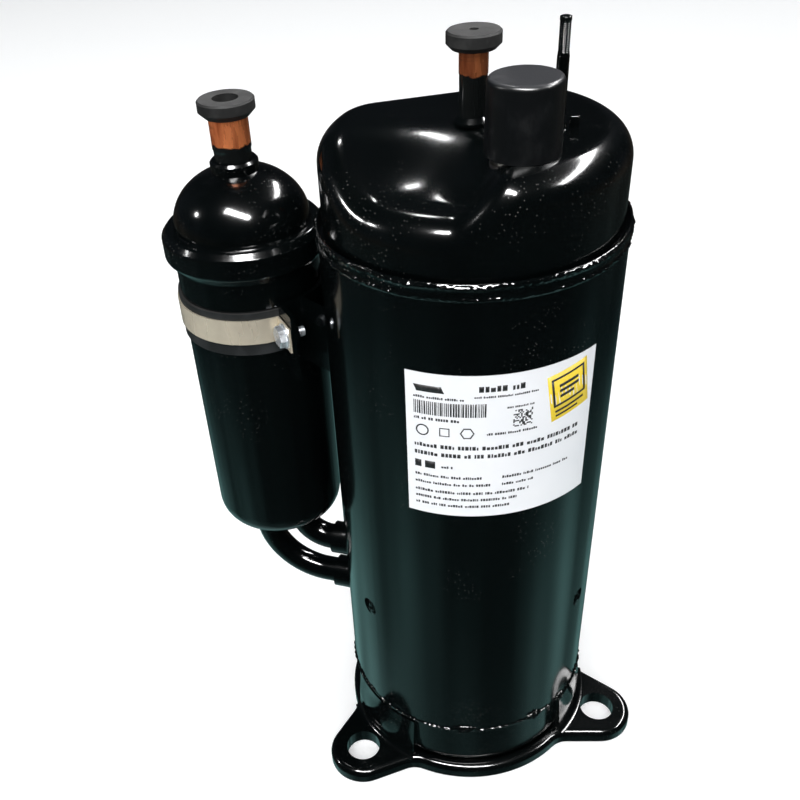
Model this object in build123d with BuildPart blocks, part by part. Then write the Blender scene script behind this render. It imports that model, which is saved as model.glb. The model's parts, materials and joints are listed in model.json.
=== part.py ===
"""Twin-cylinder rotary refrigeration compressor with its suction accumulator.

Units are millimetres and +Z is up. The origin is on the axis of the main
shell, in the plane that the rim of the mounting foot stands on.
"""

import os
from math import cos, radians, sin, sqrt

from build123d import *

os.makedirs("parts", exist_ok=True)

# ---------------------------------------------------------------- shell
shell_radius = 73.5
shell_wall = 2.8
shell_inner = shell_radius - shell_wall
shell_bottom = 45.0
shell_top = 341.0
cap_engagement = 12.0
cap_wall = 3.2
plateau_height = 387.0
shelf_height = 371.0
scoop_x = -31.0
scoop_y = -56.0
scoop_floor_radius = 20.0
scoop_rim_radius = 48.0
back_azimuth = 108.0
back_slope_start = 42.0
back_slope_end = 72.0
back_drop = 11.0
cap_edge_radius = 11.0

# ---------------------------------------------------------------- foot
foot_top = 9.0
foot_sheet = 3.0
foot_ring_radius = 76.5
ear_circle_radius = 90.0
ear_radius = 21.0
ear_hole_radius = 10.5
ear_azimuth = 104.3
ear_flange_wall = 2.4
tab_top = 41.0
tab_span = 42.0
tab_sheet = 3.0
tab_gap = 0.15
dish_floor = 3.0

# ---------------------------------------------------------------- top fittings
discharge_radius = 6.2
discharge_stub_radius = 6.4
discharge_wall = 0.9
discharge_step = 408.0
discharge_top = 418.3
cover_x = 20.5
cover_y = -37.5
cover_top = 417.5
cover_radius = 16.0
cover_top_radius = 15.5
cover_wall = 1.3
terminal_radius = 12.2
pin_circle_radius = 6.4
pin_radius = 1.6
stud_x = 37.0
stud_y = -7.0
stud_radius = 2.5
stud_top = 431.5

# ---------------------------------------------------------------- accumulator
suction_azimuth = 168.0
accumulator_distance = 119.5
accumulator_radius = 37.6
accumulator_wall = 2.2
accumulator_seam = 160.7
accumulator_body_top = 328.0
bottom_cap_depth = 29.0
ring_foot = 313.2
ring_radius = 42.2
dome_base = 332.0
dome_radius = 35.1
dome_height = 27.6
suction_radius = 9.3
suction_stub_radius = 9.7
suction_wall = 1.1
suction_step = 369.5
suction_top = 384.5
standpipe_offset = 12.0
standpipe_top = 300.0
elbow_radius = 7.95
elbow_wall = 1.2
elbow_joint = 138.0
sleeve_radius = 10.3
sleeve_end = 86.0
strap_low = 280.3
strap_high = 294.0
strap_sheet = 0.8
pad_low = 273.6
pad_high = 297.7
pad_sheet = 1.4
strap_ear_azimuth = 301.0
strap_back_azimuth = 20.0
bolt_offset = 48.0
bolt_radius = 2.5
bolt_reach = 9.5
nut_half_width = 4.0
nut_height = 3.2

# ---------------------------------------------------------------- pump
cylinder_height = 24.0
partition_height = 6.0
lower_port_height = 87.0
upper_port_height = lower_port_height + cylinder_height + partition_height
lower_cylinder_base = lower_port_height - cylinder_height / 2
partition_base = lower_cylinder_base + cylinder_height
upper_cylinder_base = partition_base + partition_height
upper_cylinder_top = upper_cylinder_base + cylinder_height
bore_radius = 28.0
eccentricity = 5.0
crankpin_radius = 17.0
roller_clearance = 0.05
journal_radius = 11.5
sub_journal_radius = 10.0
bearing_clearance = 0.04
partition_bore = 17.4
upper_cylinder_radius = 70.6
lower_cylinder_radius = 60.0
vane_azimuth = 145.0
vane_width = 4.0
vane_length = 22.0
slot_clearance = 0.03
vane_slot_end = 52.0
spring_hole_radius = 4.4
port_azimuth = 122.0
port_offset = 24.5
bearing_flange = 10.0
main_flange_radius = 54.0
sub_flange_radius = 50.0
main_hub_radius = 17.0
main_hub_top = 175.0
sub_hub_radius = 14.5
sub_hub_bottom = 44.0
pump_bolt_circle = 42.5
pump_bolt_radius = 3.0
muffler_radius = 36.5
muffler_sheet = 1.0
reed_length = 15.0
reed_sheet = 0.4
weld_height = 124.0
weld_azimuths = (96.0, 221.0, 331.0)

# ---------------------------------------------------------------- motor
stack_base = 195.0
stack_top = 265.0
stator_radius = 70.65
stator_bore = 37.0
rotor_radius = 36.3
slot_count = 9
slot_inner = 42.0
slot_outer = 60.0
tooth_half_width = 7.0
pole_count = 6
magnet_offset = 29.0
rivet_circle = 18.6
rivet_radius = 2.0
rivet_head_radius = 3.3
rivet_head_height = 1.6
end_plate = 1.5
weight_height = 13.0
shaft_bottom = 40.0
shaft_top = 272.0

collar_seat = dome_base + dome_height * sqrt(1 - (suction_radius / dome_radius) ** 2) + 0.1
accumulator_x = accumulator_distance * cos(radians(suction_azimuth))
accumulator_y = accumulator_distance * sin(radians(suction_azimuth))


def polar(radius, azimuth, height=0.0):
    """Point at a radius and an azimuth about the shell axis."""
    angle = radians(azimuth)
    return (radius * cos(angle), radius * sin(angle), height)


def radial_plane(azimuth, height, start=0.0):
    """Plane facing outwards along an azimuth, with its local Y upwards."""
    angle = radians(azimuth)
    return Plane(
        origin=polar(start, azimuth, height),
        x_dir=(-sin(angle), cos(angle), 0),
        z_dir=(cos(angle), sin(angle), 0),
    )


def section_plane(azimuth, x=0.0, y=0.0, z=0.0):
    """Upright plane through an axis, local X outwards and local Y upwards."""
    angle = radians(azimuth)
    return Plane(
        origin=(x, y, z),
        x_dir=(cos(angle), sin(angle), 0),
        z_dir=(sin(angle), -cos(angle), 0),
    )


def accumulator_plane(height):
    """Level plane centred on the accumulator's axis."""
    return Plane(origin=(accumulator_x, accumulator_y, height))


# ================================================================ main shell
with BuildPart() as main_shell:
    with BuildSketch(Plane.XY.offset(shell_bottom)):
        Circle(shell_radius)
        Circle(shell_inner, mode=Mode.SUBTRACT)
    extrude(amount=shell_top - shell_bottom)
    for port_height in (lower_port_height, upper_port_height):
        with BuildSketch(radial_plane(suction_azimuth, port_height)):
            Circle(sleeve_radius)
        extrude(amount=shell_radius + 5, mode=Mode.SUBTRACT)
    for weld_azimuth in weld_azimuths:
        with BuildSketch(radial_plane(weld_azimuth, weld_height)):
            Circle(5.5)
        extrude(amount=shell_radius + 5, mode=Mode.SUBTRACT)
main_shell.part.label = "main_shell"
export_step(main_shell.part, "parts/main_shell.step")


# ================================================================ upper cap
def cap_blank(radius, bottom, lift, edge_radius):
    """Closed cap body: plateau, scooped shelf at the front left, lower edge at the back."""
    plateau = plateau_height + lift
    shelf = shelf_height + lift
    with BuildPart() as blank:
        with BuildSketch(Plane.XY.offset(bottom)):
            Circle(radius)
        extrude(amount=plateau - bottom)
        with BuildSketch(section_plane(0, scoop_x, scoop_y)):
            with BuildLine():
                Line((0, shelf), (scoop_floor_radius, shelf))
                Spline(
                    (scoop_floor_radius, shelf),
                    (scoop_rim_radius, plateau),
                    tangents=((1, 0), (1, 0)),
                    tangent_scalars=(1.1, 1.1),
                )
                Polyline(
                    (scoop_rim_radius, plateau),
                    (scoop_rim_radius, stud_top),
                    (0, stud_top),
                    (0, shelf),
                )
            make_face()
        revolve(axis=Axis((scoop_x, scoop_y, 0), (0, 0, 1)), mode=Mode.SUBTRACT)
        with BuildSketch(section_plane(back_azimuth)):
            with BuildLine():
                slope_start = (back_slope_start, plateau)
                slope_end = (back_slope_end, plateau - back_drop)
                Spline(
                    slope_start,
                    slope_end,
                    tangents=((1, 0), (1, -0.35)),
                    tangent_scalars=(1.1, 1.1),
                )
                Polyline(
                    slope_end,
                    (back_slope_end, stud_top),
                    (back_slope_start, stud_top),
                    slope_start,
                )
            make_face()
        extrude(amount=100, both=True, mode=Mode.SUBTRACT)
        top_edges = blank.edges().filter_by(lambda e: e.center().Z > shelf_height - 12)
        rim_edges = top_edges.filter_by(
            lambda e: all(
                abs(sqrt((e @ t).X ** 2 + (e @ t).Y ** 2) - radius) < 0.05
                for t in (0, 0.37, 0.5, 1)
            )
        )
        fillet(rim_edges, edge_radius)
    return blank.part


cap_outside = cap_blank(shell_inner, shell_top - cap_engagement, 0.0, cap_edge_radius)
cap_inside = cap_blank(
    shell_inner - cap_wall,
    shell_top - cap_engagement - 1,
    -cap_wall,
    cap_edge_radius - cap_wall,
)
with BuildPart() as upper_cap:
    add(cap_outside)
    add(cap_inside, mode=Mode.SUBTRACT)
    with Locations((0, 0, plateau_height)):
        Hole(discharge_radius, depth=20)
    with Locations((cover_x, cover_y, plateau_height)):
        Hole(terminal_radius, depth=20)
    # Flat seat for the terminal's flange.
    with BuildSketch(Plane.XY.offset(plateau_height - cap_wall - 4)):
        with Locations((cover_x, cover_y)):
            Circle(terminal_radius + 1.3)
    extrude(amount=4, mode=Mode.SUBTRACT)
upper_cap.part.label = "upper_cap"
export_step(upper_cap.part, "parts/upper_cap.step")

# ================================================================ lower cap
with BuildPart() as lower_cap:
    with BuildSketch(Plane.XZ):
        with BuildLine():
            FilletPolyline(
                (0, dish_floor),
                (shell_inner, dish_floor),
                (shell_inner, shell_bottom + cap_engagement),
                radius=12,
            )
            Polyline(
                (shell_inner, shell_bottom + cap_engagement),
                (shell_inner - cap_wall, shell_bottom + cap_engagement),
            )
            FilletPolyline(
                (shell_inner - cap_wall, shell_bottom + cap_engagement),
                (shell_inner - cap_wall, dish_floor + cap_wall),
                (0, dish_floor + cap_wall),
                radius=12 - cap_wall,
            )
            Line((0, dish_floor + cap_wall), (0, dish_floor))
        make_face()
    revolve(axis=Axis.Z)
lower_cap.part.label = "lower_cap"
export_step(lower_cap.part, "parts/lower_cap.step")

# Fillet beads that close each cap into the rim of the shell.
with BuildPart() as seam_weld_beads:
    with BuildSketch(Plane.XZ):
        with BuildLine():
            Polyline(
                (shell_inner, shell_top + 4.5),
                (shell_inner, shell_top),
                (shell_radius, shell_top),
                (shell_radius, shell_top - 4),
            )
            ThreePointArc(
                (shell_radius, shell_top - 4),
                (shell_radius + 1.0, shell_top - 0.5),
                (shell_radius - 0.4, shell_top + 2.7),
            )
            ThreePointArc(
                (shell_radius - 0.4, shell_top + 2.7),
                (shell_radius - 1.5, shell_top + 4.0),
                (shell_inner, shell_top + 4.5),
            )
        make_face()
    revolve(axis=Axis.Z)
    with BuildSketch(Plane.XZ):
        with BuildLine():
            Polyline(
                (shell_inner, shell_bottom - 2.6),
                (shell_inner, shell_bottom),
                (shell_radius - 0.2, shell_bottom),
            )
            ThreePointArc(
                (shell_radius - 0.2, shell_bottom),
                (shell_radius - 0.9, shell_bottom - 1.7),
                (shell_inner, shell_bottom - 2.6),
            )
        make_face()
    revolve(axis=Axis.Z)
seam_weld_beads.part.label = "seam_weld_beads"
export_step(seam_weld_beads.part, "parts/seam_weld_beads.step")

# Plug welds that fix the upper cylinder in the shell.
with BuildPart() as plug_welds:
    for weld_azimuth in weld_azimuths:
        with BuildSketch(radial_plane(weld_azimuth, weld_height, shell_inner + 0.1)):
            Circle(5.5)
        extrude(amount=shell_wall + 0.4)
        with BuildSketch(radial_plane(weld_azimuth, weld_height, shell_radius + 0.5)):
            Circle(4.6)
        extrude(amount=0.7, taper=30)
plug_welds.part.label = "plug_welds"
export_step(plug_welds.part, "parts/plug_welds.step")

# ================================================================ mounting foot
with BuildSketch() as foot_outline:
    for ear in range(3):
        with BuildSketch() as ear_outline:
            with Locations(polar(ear_circle_radius, ear_azimuth + 120 * ear)):
                Circle(ear_radius)
            Circle(50)
            make_hull()
        add(ear_outline.sketch)
    Circle(foot_ring_radius)
    corners = foot_outline.vertices().filter_by(
        lambda v: abs(sqrt(v.X**2 + v.Y**2) - foot_ring_radius) < 0.01
    )
    fillet(corners, 14)

with BuildPart() as mounting_foot:
    add(foot_outline.sketch)
    extrude(amount=foot_top)
    fillet(mounting_foot.faces().sort_by(Axis.Z)[-1].edges(), 4)
    with BuildSketch():
        offset(foot_outline.sketch, amount=-foot_sheet)
    extrude(amount=foot_top - foot_sheet, mode=Mode.SUBTRACT)
    # Dish that the lower cap is welded into.
    with BuildSketch():
        Circle(shell_inner + 0.05 + foot_sheet)
    extrude(amount=foot_top - 0.5)
    with BuildSketch(Plane.XY.offset(dish_floor)):
        Circle(shell_inner + 0.05)
    extrude(amount=foot_top, mode=Mode.SUBTRACT)
    with BuildSketch():
        Circle(20)
    extrude(amount=foot_top, mode=Mode.SUBTRACT)
    with BuildSketch():
        Circle(shell_inner - 4)
    extrude(amount=0.6, mode=Mode.SUBTRACT)
    # Tab that each ear sends up the side of the lower cap.
    for ear in range(3):
        with BuildSketch(section_plane(ear_azimuth + 120 * ear - tab_span / 2)):
            with BuildLine():
                tab_inner = shell_inner + tab_gap
                tab_outer = tab_inner + tab_sheet
                Spline(
                    (tab_outer, tab_top),
                    (tab_outer + 1.5, foot_top + 9.0),
                    (ear_circle_radius - ear_hole_radius - 0.5, foot_top),
                    tangents=((0, -1), (1, -0.15)),
                )
                Polyline(
                    (ear_circle_radius - ear_hole_radius - 0.5, foot_top),
                    (ear_circle_radius - ear_hole_radius - 0.5, foot_top - 1),
                    (tab_inner, foot_top - 1),
                    (tab_inner, tab_top),
                    (tab_outer, tab_top),
                )
            make_face()
        revolve(axis=Axis.Z, revolution_arc=tab_span)
    # Turned-down flange round each grommet hole.
    with BuildSketch():
        with PolarLocations(ear_circle_radius, 3, start_angle=ear_azimuth):
            Circle(ear_hole_radius + ear_flange_wall)
    extrude(amount=foot_top - 0.5)
    with BuildSketch():
        with PolarLocations(ear_circle_radius, 3, start_angle=ear_azimuth):
            Circle(ear_hole_radius)
    extrude(amount=foot_top + 1, mode=Mode.SUBTRACT)
mounting_foot.part.label = "mounting_foot"
export_step(mounting_foot.part, "parts/mounting_foot.step")

# ================================================================ discharge stub
with BuildPart() as discharge_tube:
    with BuildSketch(Plane.XY.offset(plateau_height - 16)):
        Circle(discharge_radius)
    extrude(amount=discharge_step - plateau_height + 16)
    with BuildSketch(Plane.XY.offset(discharge_step)):
        Circle(discharge_stub_radius)
    extrude(amount=discharge_top - discharge_step)
    with BuildSketch(Plane.XY.offset(plateau_height - 16)):
        Circle(discharge_radius - discharge_wall)
    extrude(amount=discharge_top - plateau_height + 16, mode=Mode.SUBTRACT)
discharge_tube.part.label = "discharge_tube"
export_step(discharge_tube.part, "parts/discharge_tube.step")

def plug_profile(disc_radius, disc_height, bevel, stem_radius, stem_length, recess):
    """Half section of a rubber transit plug, with its seat at height zero."""
    recess_radius, recess_depth = recess
    Polyline(
        (0, -stem_length),
        (stem_radius - 0.8, -stem_length),
        (stem_radius, -stem_length + 1.2),
        (stem_radius, 0),
        (disc_radius - bevel, 0),
        (disc_radius, bevel),
        (disc_radius, disc_height - 0.8),
        (disc_radius - 0.8, disc_height),
        (recess_radius, disc_height),
        (recess_radius, disc_height - recess_depth),
        (0, disc_height - recess_depth),
        close=True,
    )


with BuildPart() as discharge_plug:
    with BuildSketch(section_plane(0, z=discharge_top)):
        with BuildLine():
            plug_profile(12.0, 7.4, 2.2, discharge_radius - discharge_wall - 0.08, 8, (2.0, 5.0))
        make_face()
    revolve(axis=Axis.Z)
discharge_plug.part.label = "discharge_plug"
export_step(discharge_plug.part, "parts/discharge_plug.step")

# ================================================================ terminal
with BuildPart() as terminal_body:
    with BuildSketch(Plane.XY.offset(plateau_height - cap_wall - 2)):
        with Locations((cover_x, cover_y)):
            Circle(terminal_radius + 1.3)
    extrude(amount=2)
    with BuildSketch(Plane.XY.offset(plateau_height - cap_wall - 2)):
        with Locations((cover_x, cover_y)):
            Circle(terminal_radius)
    extrude(amount=cap_wall + 2 + 2.6)
    with BuildSketch(Plane.XY.offset(plateau_height - cap_wall - 2)):
        with Locations((cover_x, cover_y)):
            Circle(terminal_radius - 1.8)
    extrude(amount=cap_wall + 2, mode=Mode.SUBTRACT)
    with BuildSketch(Plane.XY.offset(plateau_height - 2)):
        with Locations((cover_x, cover_y)):
            with PolarLocations(pin_circle_radius, 3, start_angle=90):
                Circle(bolt_radius + 0.15)
    extrude(amount=10, mode=Mode.SUBTRACT)
terminal_body.part.label = "terminal_body"
export_step(terminal_body.part, "parts/terminal_body.step")

with BuildPart() as terminal_glass:
    with BuildSketch(Plane.XY.offset(plateau_height - 0.4)):
        with Locations((cover_x, cover_y)):
            with PolarLocations(pin_circle_radius, 3, start_angle=90):
                Circle(bolt_radius + 0.15)
                Circle(pin_radius, mode=Mode.SUBTRACT)
    extrude(amount=3.4)
terminal_glass.part.label = "terminal_glass"
export_step(terminal_glass.part, "parts/terminal_glass.step")

with BuildPart() as terminal_pins:
    with BuildSketch(Plane.XY.offset(plateau_height - 16)):
        with Locations((cover_x, cover_y)):
            with PolarLocations(pin_circle_radius, 3, start_angle=90):
                Circle(pin_radius)
    extrude(amount=27)
    with BuildSketch(Plane.XY.offset(plateau_height + 8)):
        with Locations((cover_x, cover_y)):
            with PolarLocations(pin_circle_radius, 3, start_angle=90):
                Rectangle(0.8, 6.3)
    extrude(amount=9)
terminal_pins.part.label = "terminal_pins"
export_step(terminal_pins.part, "parts/terminal_pins.step")

with BuildPart() as terminal_gasket:
    with BuildSketch(Plane.XY.offset(plateau_height)):
        with Locations((cover_x, cover_y)):
            Circle(cover_radius - cover_wall - 0.25)
            Circle(terminal_radius + 0.1, mode=Mode.SUBTRACT)
    extrude(amount=2.2)
terminal_gasket.part.label = "terminal_gasket"
export_step(terminal_gasket.part, "parts/terminal_gasket.step")

with BuildPart() as terminal_cover:
    with BuildSketch(section_plane(0, cover_x, cover_y)):
        with BuildLine():
            base = plateau_height + 0.05
            FilletPolyline(
                (0, cover_top),
                (cover_top_radius, cover_top),
                (cover_radius, base),
                radius=2.2,
            )
            Line((cover_radius, base), (cover_radius - cover_wall, base))
            FilletPolyline(
                (cover_radius - cover_wall, base),
                (cover_top_radius - cover_wall, cover_top - 1.8),
                (0, cover_top - 1.8),
                radius=1.2,
            )
            Line((0, cover_top - 1.8), (0, cover_top))
        make_face()
    revolve(axis=Axis((cover_x, cover_y, 0), (0, 0, 1)))
terminal_cover.part.label = "terminal_cover"
export_step(terminal_cover.part, "parts/terminal_cover.step")

with BuildPart() as cover_stud:
    with BuildSketch(Plane.XY.offset(plateau_height)):
        with Locations((stud_x, stud_y)):
            Circle(3.6)
    extrude(amount=1.4)
    with BuildSketch(Plane.XY.offset(plateau_height)):
        with Locations((stud_x, stud_y)):
            Circle(stud_radius + 0.25)
    extrude(amount=30)
    with BuildSketch(Plane.XY.offset(plateau_height + 30)):
        with Locations((stud_x, stud_y)):
            Circle(stud_radius)
    extrude(amount=stud_top - plateau_height - 30)
    chamfer(cover_stud.edges().group_by(Axis.Z)[-1], length=0.8)
    with BuildSketch(Plane.XY.offset(stud_top - 1.4)):
        with Locations((stud_x, stud_y)):
            Rectangle(0.9, 8)
    extrude(amount=3, mode=Mode.SUBTRACT)
cover_stud.part.label = "cover_stud"
export_step(cover_stud.part, "parts/cover_stud.step")

with BuildPart() as ground_lug:
    with BuildSketch(Plane.XY.offset(plateau_height)):
        with Locations((stud_x + 6.4, stud_y - 2.5)):
            RectangleRounded(4.2, 3.6, 0.8)
    extrude(amount=5.2)
    fillet(ground_lug.edges().group_by(Axis.Z)[-1], 0.6)
ground_lug.part.label = "ground_lug"
export_step(ground_lug.part, "parts/ground_lug.step")

# ================================================================ rating label
with BuildPart() as rating_label:
    with BuildSketch(Plane.XY.offset(218.5)):
        with BuildLine():
            CenterArc((0, 0), shell_radius + 0.02, 247, 74)
            CenterArc((0, 0), shell_radius + 0.27, 247, 74)
            for end in (247, 321):
                Line(polar(shell_radius + 0.02, end), polar(shell_radius + 0.27, end))
        make_face()
    extrude(amount=82.2)
rating_label.part.label = "rating_label"
export_step(rating_label.part, "parts/rating_label.step")

# ================================================================ accumulator
with BuildPart() as accumulator_body:
    with BuildSketch(accumulator_plane(accumulator_seam)):
        Circle(accumulator_radius)
        Circle(accumulator_radius - accumulator_wall, mode=Mode.SUBTRACT)
    extrude(amount=accumulator_body_top - accumulator_seam)
accumulator_body.part.label = "accumulator_body"
export_step(accumulator_body.part, "parts/accumulator_body.step")

accumulator_axis = Axis((accumulator_x, accumulator_y, 0), (0, 0, 1))

with BuildPart() as accumulator_top_cap:
    with BuildSketch(section_plane(suction_azimuth, accumulator_x, accumulator_y)):
        with BuildLine():
            skirt_radius = accumulator_radius + 0.02
            ring_top = ring_foot + 18.4
            Line((skirt_radius, ring_foot), (skirt_radius + 0.7, ring_foot))
            FilletPolyline(
                (skirt_radius + 0.7, ring_foot),
                (ring_radius, ring_foot + 4.6),
                (ring_radius, ring_foot + 14.6),
                (ring_radius - 3.2, ring_top),
                (dome_radius + 0.5, ring_top - 0.7),
                radius=2.0,
            )
            Line((dome_radius + 0.5, ring_top - 0.7), (dome_radius, dome_base))
            EllipticalCenterArc(
                (0, dome_base),
                dome_radius,
                dome_height,
                start_angle=0,
                arc_size=90,
            )
            Line((0, dome_base + dome_height), (0, dome_base + dome_height - accumulator_wall))
            EllipticalCenterArc(
                (0, dome_base),
                dome_radius - accumulator_wall,
                dome_height - accumulator_wall,
                start_angle=0,
                arc_size=90,
            )
            Polyline(
                (dome_radius - accumulator_wall, dome_base),
                (dome_radius - accumulator_wall, accumulator_body_top),
                (skirt_radius, accumulator_body_top),
                (skirt_radius, ring_foot),
            )
        make_face()
    revolve(axis=accumulator_axis)
    with BuildSketch(accumulator_plane(340)):
        Circle(suction_radius)
    extrude(amount=40, mode=Mode.SUBTRACT)
accumulator_top_cap.part.label = "accumulator_top_cap"
export_step(accumulator_top_cap.part, "parts/accumulator_top_cap.step")



def bottom_cap_section(radius, depth):
    """Straight skirt, tight knuckle and shallow dish, from the seam down to the axis."""
    skirt_end = (radius, accumulator_seam - 4.5)
    Line((radius, accumulator_seam), skirt_end)
    Spline(
        skirt_end,
        (radius - 5.0, accumulator_seam - depth + 12.6),
        (radius - 16.0, accumulator_seam - depth + 4.8),
        (0, accumulator_seam - depth),
        tangents=((0, -1), (-1, 0)),
    )


with BuildPart() as accumulator_bottom_cap:
    with BuildSketch(section_plane(suction_azimuth, accumulator_x, accumulator_y)):
        with BuildLine():
            bottom_cap_section(accumulator_radius, bottom_cap_depth)
            bottom_cap_section(
                accumulator_radius - accumulator_wall, bottom_cap_depth - accumulator_wall
            )
            Line(
                (accumulator_radius, accumulator_seam),
                (accumulator_radius - accumulator_wall, accumulator_seam),
            )
            Line(
                (0, accumulator_seam - bottom_cap_depth),
                (0, accumulator_seam - bottom_cap_depth + accumulator_wall),
            )
        make_face()
    revolve(axis=accumulator_axis)
    for side in (-1, 1):
        with BuildSketch(Plane.XY.offset(120)):
            with Locations(polar(accumulator_distance + side * standpipe_offset, suction_azimuth)):
                Circle(elbow_radius)
        extrude(amount=60, mode=Mode.SUBTRACT)
accumulator_bottom_cap.part.label = "accumulator_bottom_cap"
export_step(accumulator_bottom_cap.part, "parts/accumulator_bottom_cap.step")

with BuildPart() as accumulator_standpipes:
    for side in (-1, 1):
        with BuildSketch(Plane.XY.offset(elbow_joint)):
            with Locations(polar(accumulator_distance + side * standpipe_offset, suction_azimuth)):
                Circle(elbow_radius)
                Circle(elbow_radius - elbow_wall, mode=Mode.SUBTRACT)
        extrude(amount=standpipe_top - elbow_joint)
        # Oil return hole near the foot of each standpipe.
        with BuildSketch(
            Plane(
                origin=polar(
                    accumulator_distance + side * standpipe_offset,
                    suction_azimuth,
                    accumulator_seam + 6,
                ),
                z_dir=(0, 1, 0),
            )
        ):
            Circle(0.8)
        extrude(amount=12, mode=Mode.SUBTRACT)
accumulator_standpipes.part.label = "accumulator_standpipes"
export_step(accumulator_standpipes.part, "parts/accumulator_standpipes.step")

# Strainer that catches dirt below the inlet.
with BuildPart() as accumulator_screen:
    with BuildSketch(accumulator_plane(320)):
        Circle(accumulator_radius - accumulator_wall - 0.1)
        with GridLocations(7, 7, 7, 7):
            Circle(2.2, mode=Mode.SUBTRACT)
    extrude(amount=0.8)
accumulator_screen.part.label = "accumulator_screen"
export_step(accumulator_screen.part, "parts/accumulator_screen.step")

# Baffle that keeps liquid from falling straight into the standpipes.
with BuildPart() as accumulator_baffle:
    with BuildSketch(accumulator_plane(308)):
        Circle(accumulator_radius - accumulator_wall - 0.1)
        with PolarLocations(27, 6):
            SlotOverall(14, 7, rotation=90, mode=Mode.SUBTRACT)
    extrude(amount=1.2)
accumulator_baffle.part.label = "accumulator_baffle"
export_step(accumulator_baffle.part, "parts/accumulator_baffle.step")

with BuildPart() as suction_tube:
    with BuildSketch(section_plane(0, accumulator_x, accumulator_y)):
        with BuildLine():
            Polyline(
                (suction_radius - suction_wall, 342),
                (suction_radius, 342),
                (suction_radius, suction_step - 1.5),
                (suction_stub_radius, suction_step),
                (suction_stub_radius, suction_top),
                (suction_stub_radius - suction_wall, suction_top),
                (suction_stub_radius - suction_wall, suction_step + 1.5),
                (suction_radius - suction_wall, suction_step),
                close=True,
            )
        make_face()
    revolve(axis=accumulator_axis)
suction_tube.part.label = "suction_tube"
export_step(suction_tube.part, "parts/suction_tube.step")

# Brazed collars that seal both stubs where they leave the domes.
with BuildPart() as tube_collars:
    with BuildSketch(section_plane(0)):
        with BuildLine():
            Polyline(
                (discharge_radius, plateau_height),
                (discharge_radius + 2.6, plateau_height),
                (discharge_radius + 2.6, plateau_height + 1.4),
                (discharge_radius + 0.6, plateau_height + 3.4),
                (discharge_radius, plateau_height + 3.4),
                close=True,
            )
        make_face()
    revolve(axis=Axis.Z)
    with BuildSketch(section_plane(suction_azimuth, accumulator_x, accumulator_y)):
        with BuildLine():
            Polyline(
                (suction_radius, collar_seat),
                (suction_radius + 2.8, collar_seat - 0.75),
                (suction_radius + 2.8, collar_seat + 3.8),
                (suction_radius + 1.8, collar_seat + 5.0),
                (suction_radius, collar_seat + 5.0),
                close=True,
            )
        make_face()
    revolve(axis=accumulator_axis)
tube_collars.part.label = "tube_collars"
export_step(tube_collars.part, "parts/tube_collars.step")

with BuildPart() as suction_plug:
    with BuildSketch(section_plane(0, accumulator_x, accumulator_y, suction_top)):
        with BuildLine():
            plug_profile(14.0, 8.2, 3.0, suction_stub_radius - suction_wall - 0.08, 9, (6.4, 6.6))
        make_face()
    revolve(axis=accumulator_axis)
suction_plug.part.label = "suction_plug"
export_step(suction_plug.part, "parts/suction_plug.step")

# ================================================================ suction elbows
with BuildPart() as outer_suction_elbow:
    with BuildLine(section_plane(suction_azimuth)) as outer_path:
        FilletPolyline(
            (accumulator_distance + standpipe_offset, elbow_joint),
            (accumulator_distance + standpipe_offset, lower_port_height),
            (54, lower_port_height),
            radius=38,
        )
    with BuildSketch(Plane(origin=outer_path.wires()[0] @ 0, z_dir=outer_path.wires()[0] % 0)):
        Circle(elbow_radius)
        Circle(elbow_radius - elbow_wall, mode=Mode.SUBTRACT)
    sweep(path=outer_path.wires()[0])
outer_suction_elbow.part.label = "outer_suction_elbow"
export_step(outer_suction_elbow.part, "parts/outer_suction_elbow.step")

with BuildPart() as inner_suction_elbow:
    with BuildLine(section_plane(suction_azimuth)) as inner_path:
        FilletPolyline(
            (accumulator_distance - standpipe_offset, elbow_joint),
            (accumulator_distance - standpipe_offset, upper_port_height),
            (54, upper_port_height),
            radius=19,
        )
    with BuildSketch(Plane(origin=inner_path.wires()[0] @ 0, z_dir=inner_path.wires()[0] % 0)):
        Circle(elbow_radius)
        Circle(elbow_radius - elbow_wall, mode=Mode.SUBTRACT)
    sweep(path=inner_path.wires()[0])
inner_suction_elbow.part.label = "inner_suction_elbow"
export_step(inner_suction_elbow.part, "parts/inner_suction_elbow.step")

with BuildPart() as elbow_sleeves:
    for port_height in (lower_port_height, upper_port_height):
        with BuildSketch(radial_plane(suction_azimuth, port_height, shell_inner + 0.5)):
            Circle(sleeve_radius)
            Circle(elbow_radius, mode=Mode.SUBTRACT)
        extrude(amount=sleeve_end - shell_inner - 0.5)
elbow_sleeves.part.label = "elbow_sleeves"
export_step(elbow_sleeves.part, "parts/elbow_sleeves.step")

# ================================================================ strap and bracket
pad_radius = accumulator_radius + pad_sheet
strap_radius = pad_radius + strap_sheet
saddle_radius = pad_radius + 2.3

with BuildPart() as strap_pad:
    with BuildSketch(accumulator_plane(pad_low)):
        Circle(pad_radius)
        Circle(accumulator_radius, mode=Mode.SUBTRACT)
    extrude(amount=pad_high - pad_low)
strap_pad.part.label = "strap_pad"
export_step(strap_pad.part, "parts/strap_pad.step")


def accumulator_polar(radius, azimuth, height=0.0):
    """Point at a radius and an azimuth about the accumulator's axis."""
    x, y, z = polar(radius, azimuth, height)
    return (accumulator_x + x, accumulator_y + y, z)


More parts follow.
